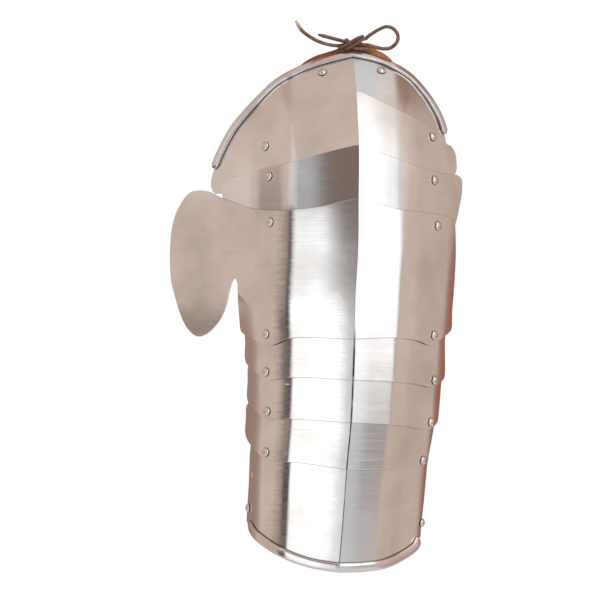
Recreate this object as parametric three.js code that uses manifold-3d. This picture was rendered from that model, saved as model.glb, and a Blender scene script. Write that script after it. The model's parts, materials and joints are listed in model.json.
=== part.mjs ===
// Left steel pauldron: eight articulated plates on domed rivets, with a laced leather tab at the
// shoulder and a leather strap behind the arm.
// Millimetres. +Z is up, -Y is outward from the arm, +X is toward the wearer's back.
// The origin is on the shoulder tab, where the lace is tied.
import * as THREE from 'three';
import Module from 'manifold-3d';

const wasm = await Module();
wasm.setup();

// Sheet and rivets
const SHEET = 1.2;            // thickness of the steel
const PITCH = 2.4;            // one plate to the next one over it, outer face to outer face
const HOLE_R = 2.2;           // clearance hole for a rivet
const SHANK_R = 1.4;
const HEAD_R = 3.6;
const HEAD_H = 2.4;
const DOME = [2.7, 1.56];     // the head passes here: distance from its middle, height
const PEEN_R = 2.9;           // the small head inside
const PEEN_H = 0.9;
const PEEN_FLAT = 2.03;       // the flat end of the small head
const SEAT = 0.3;             // gap under a rivet head and between seated pieces
const PEEN_GAP = 0.5;         // gap over the small head
const ROLL_R = 2.8;           // rolled rim of the cap
const CUFF_ROLL_R = 3.2;      // rolled rim of the arm cannon
const ROLL_LIFT = 0.7;        // the rolls stand this much proud of the inner face

// Leather
const TAB_THICK = 2.2;
const TAB_GAP = 0.5;
const STRAP_THICK = 2.2;
const STRAP_GAP = 0.7;
const STRAP_WIDE = 20;
const LACE_R = 1.5;
const LACE_HOLE_R = 3;

// How far each plate lies in from the main plate, in layers
const LAYER = { main_plate: 0, upper_lame_2: 1, upper_lame_1: 2, cap_plate: 3, lower_lame_1: 1,
  lower_lame_2: 2, lower_lame_3: 3, arm_cannon: 4 };

// The ridge down the middle, seen from the side: height, then distance outward of the main layer
const RIDGE_Y = [[25, 19], [0, -9], [-33, -44], [-55, -59], [-78, -69], [-100, -75], [-122, -79],
  [-160, -82], [-236, -83], [-343, -80], [-440, -74]];
// The same ridge seen from outside: height, then sideways place
const RIDGE_X = [[25, -1], [0, -0.5], [-33, 2], [-78, 4], [-122, 3.7], [-163, 3.3], [-205, 1],
  [-236, 0.4], [-270, -0.8], [-305, -2.5], [-343, -6], [-385, -9], [-427, -12.6], [-440, -13.5]];
// How wide the section is at each height, as a share of its width at the main plate
const WIDE_FRONT = [[25, 1], [-205, 1], [-250, 0.97], [-343, 0.95], [-427, 0.88], [-440, 0.87]];
const WIDE_BACK = [[25, 1], [-205, 1], [-250, 0.96], [-343, 0.95], [-427, 0.93], [-440, 0.93]];

// The section on each side of the ridge is three flats, of which the first is slightly curved,
// with soft bends between them. A flat is given by its slope, a bend by where it starts and how
// wide it is.
const RIDGE_SLOPE = 0.2;
const FLAT_1 = 0.38;
const FRONT_BEND_0 = { from: 0, wide: 44 };
const BACK_BEND_0 = { from: 0, wide: 28 };
const FRONT_2 = 1.15;
const FRONT_BEND_1 = { from: 50, wide: 18 };
const FRONT_BEND_2 = { from: 80, wide: 12 };
const BACK_2 = 1.3;
const BACK_BEND_1 = { from: 30, wide: 24 };
const BACK_BEND_2 = { from: 73, wide: 10 };
const WING_SLOPE = 0.727;     // the wing stays open where the plate below it curls round the arm
const UPPER_SLOPE = 1.4;      // the back edge of the upper lames flares a little
const EDGE_SLOPE = 3.4;
const CUFF_SLOPE = 3.8;
const SLOT = 100;             // the slot between wing and plate is this far in front of the ridge
const SLOT_TOP = -186;
const SLOT_EASE = 50;         // below the slot's top the front edge turns inward over this height
const WING_BOTTOM = -250;
const BACK_TURN = { top: -120, height: 100 };   // where the back edge turns inward
const CUFF_TURN = { top: -240, height: 130 };   // where both edges turn in a little more

// A smooth curve through a table of [height, value] rows
function smooth(rows) {
  const slopes = rows.map((row, i) => {
    const a = rows[Math.max(i - 1, 0)];
    const b = rows[Math.min(i + 1, rows.length - 1)];
    return (b[1] - a[1]) / (b[0] - a[0]);
  });
  return (z) => {
    let i = 0;
    while (i < rows.length - 2 && z < rows[i + 1][0]) i += 1;
    const span = rows[i + 1][0] - rows[i][0];
    const t = Math.min(1, Math.max(0, (z - rows[i][0]) / span));
    const [p, q] = [rows[i][1], rows[i + 1][1]];
    const [m, n] = [slopes[i] * span, slopes[i + 1] * span];
    return (2 * t ** 3 - 3 * t ** 2 + 1) * p + (t ** 3 - 2 * t ** 2 + t) * m
      + (3 * t ** 2 - 2 * t ** 3) * q + (t ** 3 - t ** 2) * n;
  };
}
const ridgeX = smooth(RIDGE_X);
const ridgeY = smooth(RIDGE_Y);
const wideFront = smooth(WIDE_FRONT);
const wideBack = smooth(WIDE_BACK);

function ease(t) {
  const x = Math.min(1, Math.max(0, t));
  return x * x * (3 - 2 * x);
}

// Distance gained over a soft bend, per unit of added slope
function bendRise(t, bend) {
  const x = (t - bend.from) / bend.wide;
  if (x <= 0) return 0;
  if (x < 1) return bend.wide * (x ** 3 - x ** 4 / 2);
  return bend.wide * (x - 0.5);
}

// How far the surface falls back at a side distance from the ridge, at height z
function fall(side, z) {
  const cuff = (CUFF_SLOPE - EDGE_SLOPE) * ease((CUFF_TURN.top - z) / CUFF_TURN.height);
  if (side < 0) {
    const wide = wideFront(z);
    const t = -side / wide;
    let edge = cuff + WING_SLOPE + (EDGE_SLOPE - WING_SLOPE) * ease((SLOT_TOP - z) / SLOT_EASE);
    if (-side > SLOT && z > WING_BOTTOM) edge = WING_SLOPE;
    return wide * (RIDGE_SLOPE * t + (FLAT_1 - RIDGE_SLOPE) * bendRise(t, FRONT_BEND_0)
      + (FRONT_2 - FLAT_1) * bendRise(t, FRONT_BEND_1)
      + (edge - FRONT_2) * bendRise(t, FRONT_BEND_2));
  }
  const wide = wideBack(z);
  const t = side / wide;
  const edge = cuff + UPPER_SLOPE
    + (EDGE_SLOPE - UPPER_SLOPE) * ease((BACK_TURN.top - z) / BACK_TURN.height);
  return wide * (RIDGE_SLOPE * t + (FLAT_1 - RIDGE_SLOPE) * bendRise(t, BACK_BEND_0)
    + (BACK_2 - FLAT_1) * bendRise(t, BACK_BEND_1)
    + (edge - BACK_2) * bendRise(t, BACK_BEND_2));
}

const NORMAL_STEP = 0.05;

// A point of the surface: side is measured from the ridge, off outward along the normal
function place(side, z, off) {
  const at = (s, h) => new THREE.Vector3(ridgeX(h) + s, ridgeY(h) + fall(s, h), h);
  const p = at(side, z);
  const d = NORMAL_STEP;
  const keep = side > 0 ? Math.max(side, d) : Math.min(side, -d);
  const across = at(keep + d * 0.5, z).sub(at(keep - d * 0.5, z));
  const up = at(side, z + d).sub(at(side, z - d));
  const n = across.cross(up).normalize();
  if (side === 0) {
    n.x = 0;
    n.normalize();
  }
  return { p: p.addScaledVector(n, off), n };
}

const SEAT_ROUNDS = 14;
const SEAT_SHARE = 0.8;

// The [side, height] whose point, off outward, is seen at [x, z] from outside
function seat(x, z, off) {
  let side = x - ridgeX(z);
  let h = z;
  for (let k = 0; k < SEAT_ROUNDS; k += 1) {
    const q = place(side, h, off).p;
    side += SEAT_SHARE * (x - q.x);
    h += SEAT_SHARE * (z - q.z);
  }
  return [side, h];
}

// A run of outline points as a smooth line, about `step` mm between points
function run(points, step) {
  if (points.length < 3) return points.map((p) => [...p]);
  const line = new THREE.CatmullRomCurve3(
    points.map(([x, z]) => new THREE.Vector3(x, 0, z)), false, 'centripetal');
  const count = Math.max(points.length - 1, Math.round(line.getLength() / step));
  return line.getSpacedPoints(count).map((p) => [p.x, p.z]);
}

const apart = (p, q) => Math.hypot(p[0] - q[0], p[1] - q[1]);

// Runs are joined end to end into one closed outline; they meet at corners
const SAME_POINT = 0.4;
function outline(runs, step) {
  const all = [];
  for (const points of runs) {
    for (const p of run(points, step)) {
      if (!all.length || apart(p, all[all.length - 1]) > SAME_POINT) all.push(p);
    }
  }
  if (apart(all[0], all[all.length - 1]) < SAME_POINT) all.pop();
  return all;
}

// The part of a polygon on one side of a line of constant side or height
function clip(poly, axis, limit, sign) {
  const out = [];
  poly.forEach((p, i) => {
    const q = poly[(i + 1) % poly.length];
    const dp = sign * (p[axis] - limit);
    const dq = sign * (q[axis] - limit);
    if (dp >= 0) out.push(p);
    if ((dp > 0 && dq < 0) || (dp < 0 && dq > 0)) {
      const t = dp / (dp - dq);
      const cut = [p[0] + (q[0] - p[0]) * t, p[1] + (q[1] - p[1]) * t];
      cut[axis] = limit;
      out.push(cut);
    }
  });
  return out;
}

const LEAST_CELL = 0.02;      // cells smaller than this are left out
const SNAP = 0.002;           // points nearer than this are one point

// A bent sheet with this outline: both faces and the wall between them
function sheet(shape, off, thick, columns, rows) {
  const flat = shape.map(([x, z]) => seat(x, z, off));
  const keys = new Map();
  const points = [];
  const id = (p) => {
    const key = `${Math.round(p[0] / SNAP)},${Math.round(p[1] / SNAP)}`;
    if (!keys.has(key)) {
      keys.set(key, points.length);
      points.push(p);
    }
    return keys.get(key);
  };
  const tris = [];
  for (let i = 0; i + 1 < columns.length; i += 1) {
    for (let j = 0; j + 1 < rows.length; j += 1) {
      let cell = clip(flat, 0, columns[i], 1);
      cell = clip(cell, 0, columns[i + 1], -1);
      cell = clip(cell, 1, rows[j], -1);
      cell = clip(cell, 1, rows[j + 1], 1);
      if (cell.length < 3) continue;
      const loop = cell.map((p) => new THREE.Vector2(p[0], p[1]));
      if (Math.abs(THREE.ShapeUtils.area(loop)) < LEAST_CELL) continue;
      for (const t of THREE.ShapeUtils.triangulateShape(loop, [])) {
        const [a, b, c] = t.map((k) => id(cell[k]));
        if (a === b || b === c || a === c) continue;
        const turn = (points[b][0] - points[a][0]) * (points[c][1] - points[a][1])
          - (points[b][1] - points[a][1]) * (points[c][0] - points[a][0]);
        tris.push(turn > 0 ? [a, b, c] : [a, c, b]);
      }
    }
  }
  const edges = new Map();
  for (const t of tris) {
    for (let k = 0; k < 3; k += 1) edges.set(`${t[k]},${t[(k + 1) % 3]}`, [t[k], t[(k + 1) % 3]]);
  }
  const n = points.length;
  const xyz = [];
  for (const o of [off, off - thick]) {
    for (const [s, z] of points) xyz.push(...place(s, z, o).p.toArray());
  }
  const index = [];
  for (const [a, b, c] of tris) index.push(a, b, c, n + a, n + c, n + b);
  for (const [a, b] of edges.values()) {
    if (!edges.has(`${b},${a}`)) index.push(a, n + a, n + b, a, n + b, b);
  }
  return mesh3(xyz, index);
}

function mesh3(xyz, index) {
  const g = new THREE.BufferGeometry();
  g.setAttribute('position', new THREE.Float32BufferAttribute(xyz, 3));
  g.setIndex(index);
  return g;
}

const FIRST_SIDE = new THREE.Vector3(0.3, 0.2, 1);
const END_LENGTH = 0.5;       // a tube's ends stand out by this share of its radius
const END_SCALE = 0.7;        // and narrow to this share

// A tube along points, with round ends
function tube(path, radius, sides) {
  const xyz = [];
  const index = [];
  const count = path.length;
  let side = null;
  const rings = [];
  path.forEach((p, i) => {
    const ahead = path[Math.min(i + 1, count - 1)].clone().sub(path[Math.max(i - 1, 0)]).normalize();
    if (!side) side = FIRST_SIDE.clone();
    side.addScaledVector(ahead, -side.dot(ahead)).normalize();
    const over = ahead.clone().cross(side);
    const ring = (back, scale) => rings.push({ p: p.clone().addScaledVector(ahead, back),
      side: side.clone(), over, scale });
    if (i === 0) ring(-END_LENGTH * radius, END_SCALE);
    ring(0, 1);
    if (i === count - 1) ring(END_LENGTH * radius, END_SCALE);
  });
  for (const r of rings) {
    for (let k = 0; k < sides; k += 1) {
      const a = (2 * Math.PI * k) / sides;
      const q = r.p.clone().addScaledVector(r.side, radius * r.scale * Math.cos(a))
        .addScaledVector(r.over, radius * r.scale * Math.sin(a));
      xyz.push(q.x, q.y, q.z);
    }
  }
  for (let i = 0; i + 1 < rings.length; i += 1) {
    for (let k = 0; k < sides; k += 1) {
      const [a, b] = [i * sides + k, i * sides + ((k + 1) % sides)];
      index.push(a, b, b + sides, a, b + sides, a + sides);
    }
  }
  const last = (rings.length - 1) * sides;
  for (let k = 1; k + 1 < sides; k += 1) {
    index.push(0, k + 1, k, last, last + k, last + k + 1);
  }
  return mesh3(xyz, index);
}

// Solids for joining and cutting
function solid(g) {
  const p = g.getAttribute('position');
  return new wasm.Manifold(new wasm.Mesh({
    numProp: 3,
    vertProperties: new Float32Array(p.array),
    triVerts: new Uint32Array(g.getIndex().array),
  }));
}

function unsolid(m) {
  const mesh = m.getMesh();
  const xyz = [];
  for (let i = 0; i < mesh.vertProperties.length; i += mesh.numProp) {
    xyz.push(...mesh.vertProperties.slice(i, i + 3));
  }
  return mesh3(xyz, [...mesh.triVerts]);
}

const DRILL_LENGTH = 16;
const ROUND_SIDES = 8;        // sides of a hole, a rivet, a roll and the lace
function cutHoles(g, rivets, radius) {
  let body = solid(g);
  for (const r of rivets) {
    const drill = new THREE.CylinderGeometry(radius, radius, DRILL_LENGTH, ROUND_SIDES);
    drill.deleteAttribute('normal');
    drill.deleteAttribute('uv');
    const clean = weld(drill);
    clean.applyQuaternion(new THREE.Quaternion().setFromUnitVectors(new THREE.Vector3(0, 1, 0), r.n));
    clean.translate(r.p.x, r.p.y, r.p.z);
    body = body.subtract(solid(clean));
  }
  return unsolid(body);
}

// Merges equal points of a simple geometry
function weld(g) {
  const p = g.getAttribute('position');
  const keys = new Map();
  const xyz = [];
  const map = [];
  for (let i = 0; i < p.count; i += 1) {
    const v = [p.getX(i), p.getY(i), p.getZ(i)];
    const key = v.map((c) => Math.round(c * 1000)).join();
    if (!keys.has(key)) {
      keys.set(key, xyz.length / 3);
      xyz.push(...v);
    }
    map.push(keys.get(key));
  }
  const old = g.getIndex() ? [...g.getIndex().array] : [...Array(p.count).keys()];
  const index = [];
  for (let i = 0; i < old.length; i += 3) {
    const t = [map[old[i]], map[old[i + 1]], map[old[i + 2]]];
    if (t[0] !== t[1] && t[1] !== t[2] && t[0] !== t[2]) index.push(...t);
  }
  return mesh3(xyz, index);
}

// Outlines as seen from outside, [x, z]; each run ends at a corner of the plate.
// The rim and the cuff have a corner at the ridge.
const RIM = [[-119, -100], [-112.5, -83.5], [-101.5, -63], [-94.5, -54], [-80.5, -38.5], [-65, -24],
  [-45, -13], [-26, -6.2], [-14, -3], [-1, 0], [12.5, -2.6], [23, -5.6], [33, -10], [42, -14.8],
  [50, -21], [57.5, -29.3], [64.5, -38.5], [73.5, -55], [78, -70.5], [79, -77]];
const RIM_PEAK = 9;           // the row of the rim that is on the ridge
const RIM_FROM = 4;           // the roll starts this far along the front edge
const RIM_TO = 8;             // and stops this far before the back end
const CUFF_FRONT = [[-88, -390.5], [-82.5, -399.5], [-70.5, -409], [-53.5, -418], [-34.5, -424],
  [-12.5, -427.5]];
const CUFF_BACK = [[-12.5, -427.5], [6.5, -427], [24.5, -424.5], [40, -418], [52.5, -409],
  [55, -402]];

// The same line, moved in by `depth` toward its right hand side
function inset(points, depth) {
  return points.map(([x, z], i) => {
    const a = points[Math.max(i - 1, 0)];
    const b = points[Math.min(i + 1, points.length - 1)];
    const long = Math.hypot(b[0] - a[0], b[1] - a[1]);
    return [x + (depth * (b[1] - a[1])) / long, z - (depth * (b[0] - a[0])) / long];
  });
}
const RIM_EDGE = inset(RIM, ROLL_R);
const RIM_EDGE_FRONT = RIM_EDGE.slice(0, RIM_PEAK + 1);
const RIM_EDGE_BACK = RIM_EDGE.slice(RIM_PEAK);
const CUFF_EDGE_FRONT = inset(CUFF_FRONT, -CUFF_ROLL_R);
const CUFF_EDGE_BACK = inset(CUFF_BACK, -CUFF_ROLL_R);

const PLATES = {
  cap_plate: {
    runs: [RIM_EDGE_FRONT, RIM_EDGE_BACK, [[79, -77], [83, -81.5], [85, -95], [84, -101]],
      [[84, -101], [77, -103], [64, -91], [35, -68], [1, -50]],
      [[1, -50], [-40, -68], [-74, -90], [-98, -106], [-116, -115.5]], [[-116, -115.5], [-118, -108]]],
    rows: [16, 4, -8, -20, -32, -46, -64, -84, -125],
  },
  upper_lame_1: {
    runs: [[[-118, -110.5], [-116.5, -105], [-114.5, -101], [-110.5, -97.5], [-104, -92], [-97, -84.5],
      [-79.5, -74.5], [-65, -66.5], [-44.5, -55], [-20.5, -43], [2, -33]],
    [[2, -33], [6.5, -34.5], [28, -45], [50, -55.5], [63, -63], [72, -69.5], [76, -75], [76.5, -81]],
    [[76.5, -81], [77, -100], [76, -116]],
    [[76, -116], [60, -114], [35, -106], [4, -95]],
    [[4, -95], [-30, -105], [-70, -113.5], [-95, -116], [-116, -117]]],
    rows: [-20, -34, -48, -64, -82, -100, -125],
  },
  upper_lame_2: {
    runs: [[[-108.5, -117.5], [-108.5, -108.5], [-107.5, -106], [-103.5, -105], [-92, -102.5],
      [-73, -96.5], [-52.5, -92.5], [-20.5, -83.5], [2.5, -78]],
    [[2.5, -78], [5.5, -78.5], [21.5, -84.5], [37, -90], [59, -97.5], [69, -100.5], [77, -101.5],
      [86, -102.5], [89, -105], [89.5, -110]],
    [[89.5, -110], [89, -118], [87.5, -126], [85, -138], [81, -150]],
    [[81, -150], [60, -152], [35, -146], [4, -139]],
    [[4, -139], [-30, -146], [-66, -150.5], [-95, -142], [-106, -130]], [[-106, -130], [-108.5, -117.5]]],
    rows: [-66, -82, -98, -116, -135, -160],
  },
  main_plate: {
    runs: [[[-83, -131], [-75, -131.5], [-64, -132], [-45, -131], [-25.5, -128.5], [-11.5, -125],
      [3.5, -122]],
    [[3.5, -122], [12.5, -124.5], [26, -128], [37.5, -131.5], [50, -132.5], [69, -135], [77, -136.5],
      [81.5, -138.5], [83.5, -142]],
    [[83.5, -142], [84, -167], [82.5, -197], [81, -215], [81, -227]],
    [[81, -227], [80, -230.5], [78, -232], [73.5, -235.5], [64, -242], [54.5, -238.5], [48, -237],
      [33.5, -235.5], [12.5, -236], [0.5, -236.5]],
    [[0.5, -236.5], [-48.5, -235.5], [-57.5, -237.5], [-65.5, -241], [-71.5, -242], [-89.5, -233.5],
      [-93.5, -230.5]],
    [[-93.5, -230.5], [-95, -210], [-95.5, -197], [-96, -189.5], [-98, -186]],
    [[-98, -186], [-100.5, -189.5], [-102.5, -196], [-105, -207.5], [-109, -218.5], [-115, -227],
      [-122, -233], [-128.5, -235], [-132.5, -233], [-138, -227], [-143.5, -215], [-147.5, -201.5],
      [-150.5, -189.5], [-151.5, -176.5], [-151.5, -163], [-150, -146], [-147, -134.5],
      [-142.5, -125.5], [-136, -117], [-129.5, -115], [-118, -116.5], [-110.5, -120.5],
      [-101.5, -124.5], [-92, -128], [-83, -131]]],
    rows: [-110, -126, -144, -165, -186, -200, -215, -250],
  },
  lower_lame_1: {
    runs: [[[-87, -226.5], [-60, -225.5], [-30, -224.5], [0.5, -224.5]],
      [[0.5, -224.5], [40, -225], [73, -227]],
      [[73, -227], [75, -230], [75, -240], [75, -268], [74.5, -270]],
      [[74.5, -270], [72, -272], [64.5, -276.5], [56, -274.5], [47.5, -273], [31, -271.5], [-1, -270]],
      [[-1, -270], [-48.5, -268], [-59, -269], [-71.5, -270], [-78, -266.5], [-87, -259.5]],
      [[-87, -259.5], [-89.5, -255], [-89.5, -240], [-89.5, -230], [-87, -226.5]]],
    rows: [-215, -248, -290],
  },
  lower_lame_2: {
    runs: [[[-85, -256], [-60, -256.5], [-30, -258], [-0.6, -258.5]],
      [[-0.6, -258.5], [40, -261], [70, -263.5]],
      [[70, -263.5], [72, -266], [71.5, -280], [69.5, -304]],
      [[69.5, -304], [68, -307], [61, -311.5], [54, -310.5], [47.5, -309], [28.5, -306.5], [-3, -305]],
      [[-3, -305], [-42.5, -302.5], [-59, -302], [-71.5, -302], [-79.5, -297.5], [-86.5, -291]],
      [[-86.5, -291], [-88, -286], [-87.5, -272], [-87, -259], [-85, -256]]],
    rows: [-245, -280, -330],
  },
  lower_lame_3: {
    runs: [[[-86, -289], [-60, -290.5], [-30, -292.5], [-2.6, -293.5]],
      [[-2.6, -293.5], [35, -295.5], [65, -297.5]],
      [[65, -297.5], [67, -300], [65.5, -312], [60.5, -338.5]],
      [[60.5, -338.5], [58, -340.5], [54, -341], [39.5, -342.5], [14, -343.5], [-6, -343.5]],
      [[-6, -343.5], [-44.5, -338], [-55.5, -337.5], [-71, -335.5], [-79.5, -330.5], [-87.5, -321]],
      [[-87.5, -321], [-89.5, -315.5], [-89, -302], [-88.5, -292], [-86, -289]]],
    rows: [-280, -316, -365],
  },
  arm_cannon: {
    runs: [[[-82, -321.5], [-60, -324.5], [-30, -328.5], [-5.2, -332]],
      [[-5.2, -332], [30, -331], [58, -329.5]],
      [[58, -329.5], [61.5, -332], [60.5, -340.5], [58, -368], [55.5, -392], [55, -401.5]],
      [...CUFF_EDGE_BACK].reverse(), [...CUFF_EDGE_FRONT].reverse(),
      [[-88.5, -389.5], [-88, -379.5], [-86.5, -355], [-85.5, -330], [-84.5, -324], [-82, -321.5]]],
    rows: [-310, -345, -380, -402, -440],
  },
};

// Rivets by where their heads are seen, [x, z], with the plates each one holds, outer then inner
const RIVETS = {
  cap_rivet_front: [-73.5, -78.5, 'upper_lame_1', 'cap_plate'],
  cap_rivet_back: [65.5, -70.5, 'upper_lame_1', 'cap_plate'],
  upper_rivet_front: [-70.5, -103.5, 'upper_lame_2', 'upper_lame_1'],
  upper_rivet_back: [67, -106.5, 'upper_lame_2', 'upper_lame_1'],
  main_rivet_front: [-69.5, -141, 'main_plate', 'upper_lame_2'],
  main_rivet_back: [69.5, -144, 'main_plate', 'upper_lame_2'],
  lower_rivet_1_front: [-73, -233, 'main_plate', 'lower_lame_1'],
  lower_rivet_1_back: [66.5, -234, 'main_plate', 'lower_lame_1'],
  lower_rivet_2_front: [-73, -264, 'lower_lame_1', 'lower_lame_2'],
  lower_rivet_2_back: [67, -271, 'lower_lame_1', 'lower_lame_2'],
  lower_rivet_3_front: [-72, -296.5, 'lower_lame_2', 'lower_lame_3'],
  lower_rivet_3_back: [64, -305.5, 'lower_lame_2', 'lower_lame_3'],
  cannon_rivet_front: [-73, -330, 'lower_lame_3', 'arm_cannon'],
  cannon_rivet_back: [57.5, -337, 'lower_lame_3', 'arm_cannon'],
  tab_rivet_front: [-26, -17, 'cap_plate', 'shoulder_tab'],
  tab_rivet_back: [23, -15.5, 'cap_plate', 'shoulder_tab'],
  strap_rivet_front: [-87.5, -376.5, 'arm_cannon', 'arm_strap'],
  strap_rivet_back: [56.5, -388.5, 'arm_cannon', 'arm_strap'],
};

// A sheet is bent along these side distances from the ridge, and along the heights in its rows
const COLUMNS = [-166, -144, -122, -108, -100, -94, -88, -82, -75, -66, -58, -49, -24, 0, 16, 31,
  42, 53, 64, 73, 78, 83, 90, 100];
const OUTLINE_STEP = 12;
const TAB_STEP = 8;
const ROLL_STEP = 11;

// The outer face of a plate or of the leather seated under one
function plateOffset(name) {
  if (name === 'shoulder_tab') return plateOffset('cap_plate') - SHEET - TAB_GAP;
  if (name === 'arm_strap') return plateOffset('arm_cannon') - SHEET - STRAP_GAP;
  return -LAYER[name] * PITCH;
}

function thickness(name) {
  if (name === 'shoulder_tab') return TAB_THICK;
  return name === 'arm_strap' ? STRAP_THICK : SHEET;
}

// Where a rivet goes through, its direction, and the length between its two heads
function rivetSeat(name) {
  const [x, z, outer, inner] = RIVETS[name];
  const off = plateOffset(outer);
  const [side, h] = seat(x, z, off + 1);
  const { p, n } = place(side, h, off);
  const innerFace = plateOffset(inner) - thickness(inner);
  return { p, n, length: off - innerFace + SEAT + PEEN_GAP, outer, inner };
}

function rivetGeometry(length) {
  const profile = [[0, -length - PEEN_H], [PEEN_FLAT, -length - PEEN_H], [PEEN_R, -length],
    [SHANK_R, -length], [SHANK_R, 0], [HEAD_R, 0], DOME, [0, HEAD_H]];
  const g = new THREE.LatheGeometry(profile.map(([r, y]) => new THREE.Vector2(r, y)), ROUND_SIDES);
  g.deleteAttribute('normal');
  g.deleteAttribute('uv');
  return weld(g);
}

const steel = (r, g, b, rough) => new THREE.MeshStandardMaterial(
  { color: new THREE.Color(r, g, b), roughness: rough, metalness: 1 });
const leather = (r, g, b) => new THREE.MeshStandardMaterial(
  { color: new THREE.Color(r, g, b), roughness: 0.7, metalness: 0 });

function add(group, name, geometry, material) {
  geometry.computeVertexNormals();
  const mesh = new THREE.Mesh(geometry, material);
  mesh.name = name;
  group.add(mesh);
  return mesh;
}

const part = new THREE.Group();
part.name = 'pauldron';
const seats = {};
for (const name of Object.keys(RIVETS)) seats[name] = rivetSeat(name);
const holesIn = (node) => Object.values(seats).filter((s) => s.outer === node || s.inner === node);

// A line of [x, z] points with a length cut off each end
function trimmed(line, start, end) {
  const along = [0];
  for (let i = 1; i < line.length; i += 1) along.push(along[i - 1] + apart(line[i], line[i - 1]));
  const at = (d) => {
    const i = Math.min(line.length - 2, along.findIndex((v, k) => d < along[k + 1]));
    const t = (d - along[i]) / (along[i + 1] - along[i]);
    return line[i].map((v, k) => v + (line[i + 1][k] - v) * t);
  };
  const last = along[along.length - 1] - end;
  const inside = line.filter((p, i) => along[i] > start + 1 && along[i] < last - 1);
  return [at(start), ...inside, at(last)];
}

// The rolled edge of the cap or the arm cannon, along a line of [x, z] points
function roll(name, line, radius) {
  const off = plateOffset(name);
  const lift = off - SHEET + radius + ROLL_LIFT;
  const path = line.map(([x, z]) => {
    const [side, h] = seat(x, z, off);
    return place(side, h, lift).p;
  });
  return tube(path, radius, ROUND_SIDES);
}
const rolledLine = (front, back) => [...run(front, ROLL_STEP), ...run(back, ROLL_STEP).slice(1)];
const ROLLS = {
  cap_plate: roll('cap_plate', trimmed(rolledLine(RIM_EDGE_FRONT, RIM_EDGE_BACK), RIM_FROM, RIM_TO),
    ROLL_R),
  arm_cannon: roll('arm_cannon', rolledLine(CUFF_EDGE_FRONT, CUFF_EDGE_BACK), CUFF_ROLL_R),
};

function plateGeometry(name) {
  const plate = PLATES[name];
  let g = sheet(outline(plate.runs, OUTLINE_STEP), plateOffset(name), SHEET, COLUMNS, plate.rows);
  if (ROLLS[name]) g = unsolid(solid(g).add(solid(ROLLS[name])));
  return cutHoles(g, holesIn(name), HOLE_R);
}

// The leather tab behind the rim, standing a little above it, with two holes for the lace
const TAB = [[[-45, -16], [-44, -12], [-38.5, -7.5], [-31, -3.5], [-23, -1], [-15, 1.5], [-5, 6.5],
  [3, 8], [10, 6.5], [17, 2.5], [26, -2.5], [31.5, -7.5], [33.5, -12]],
[[33.5, -12], [34, -22], [28, -27], [2, -24], [-30, -30], [-42, -28], [-45, -16]]];
const TAB_ROWS = [26, ...PLATES.cap_plate.rows];
const LACE_HOLES = [[-2, 2], [8.3, 2]];

function tabGeometry() {
  const face = plateOffset('shoulder_tab');
  const holes = LACE_HOLES.map(([x, z]) => place(...seat(x, z, face), face));
  const g = sheet(outline(TAB, TAB_STEP), face, TAB_THICK, COLUMNS, TAB_ROWS);
  return cutHoles(cutHoles(g, holesIn('shoulder_tab'), HOLE_R), holes, LACE_HOLE_R);
}

// The lace: one end, down through the tab and back, one bow, and the other end. [x, y, z]
const LACE = [[-48, 2, 25.5], [-43, 1.5, 17.5], [-33.5, 1.5, 10.5], [-24, 2, 6.5], [-14, 4, 4.8],
  [-8, 7, 5.6], [-2, 8.6, 6.7], [3, 8.6, 6.5], [6.6, 7.2, 5.6], [8.3, 6.5, 3.7], [8.3, 8.7, 0.8],
  [7, 10.7, -1.2], [3, 11.3, -1.6], [-0.7, 10.7, -1.2], [-2, 8.7, 0.8], [-2.2, 6, 3.9],
  [-1.2, 4.2, 6], [1.5, 4.7, 8.2], [5, 5.3, 9.6], [9.5, 5.3, 10.8], [14, 5, 14], [21.5, 4.5, 18.5],
  [27.5, 4, 20.5], [33, 3.5, 18.5], [36.5, 3, 13], [35.5, 2.5, 7.5], [30.5, 2, 3], [24.5, 1.5, 2.2],
  [17, 1.2, 3.8], [12, 1, 5.2], [7, 1.4, 5.4], [2, 1.9, 5.8], [-3, 2.4, 7], [-12.5, 3, 9.5],
  [-22, 3, 12], [-29.5, 3, 14]];
const LACE_RINGS = 76;

function laceGeometry() {
  const line = new THREE.CatmullRomCurve3(
    LACE.map((p) => new THREE.Vector3(...p)), false, 'centripetal');
  return tube(line.getSpacedPoints(LACE_RINGS), LACE_R, ROUND_SIDES);
}

// A band of four-cornered sections, closed at both ends
function band(stations) {
  const xyz = [];
  const index = [];
  stations.forEach((ring) => ring.forEach((p) => xyz.push(p.x, p.y, p.z)));
  for (let i = 0; i + 1 < stations.length; i += 1) {
    for (let k = 0; k < 4; k += 1) {
      const [a, b] = [i * 4 + k, i * 4 + ((k + 1) % 4)];
      index.push(a, b + 4, b, a, a + 4, b + 4);
    }
  }
  const last = (stations.length - 1) * 4;
  index.push(0, 1, 2, 0, 2, 3, last, last + 2, last + 1, last, last + 3, last + 2);
  return mesh3(xyz, index);
}

// The arm strap: its ends lie inside the arm cannon under the strap rivets, at these side
// distances from the ridge, and between them it goes round behind the arm
const STRAP_FRONT_SIDES = [-59, -66, -75, -80.5];
const STRAP_BACK_SIDES = [67.5, 64, 53, 45];
const STRAP_LEAVES = 18;      // it leaves the plate straight back for this far
const STRAP_CORNER = 14;      // it turns this far in from each side
const STRAP_TURN = { corner: 42, middle: 58 };   // how far back it is at its corners and its middle
const STRAP_SAG = { front: -379, middle: -382.5, back: -386 };   // its heights there
const STRAP_ROUNDS = 40;
const STRAP_CLEAR = 5;        // no bend is nearer than this to where it leaves the plate
const HALF_WIDE = STRAP_WIDE / 2;

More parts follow.
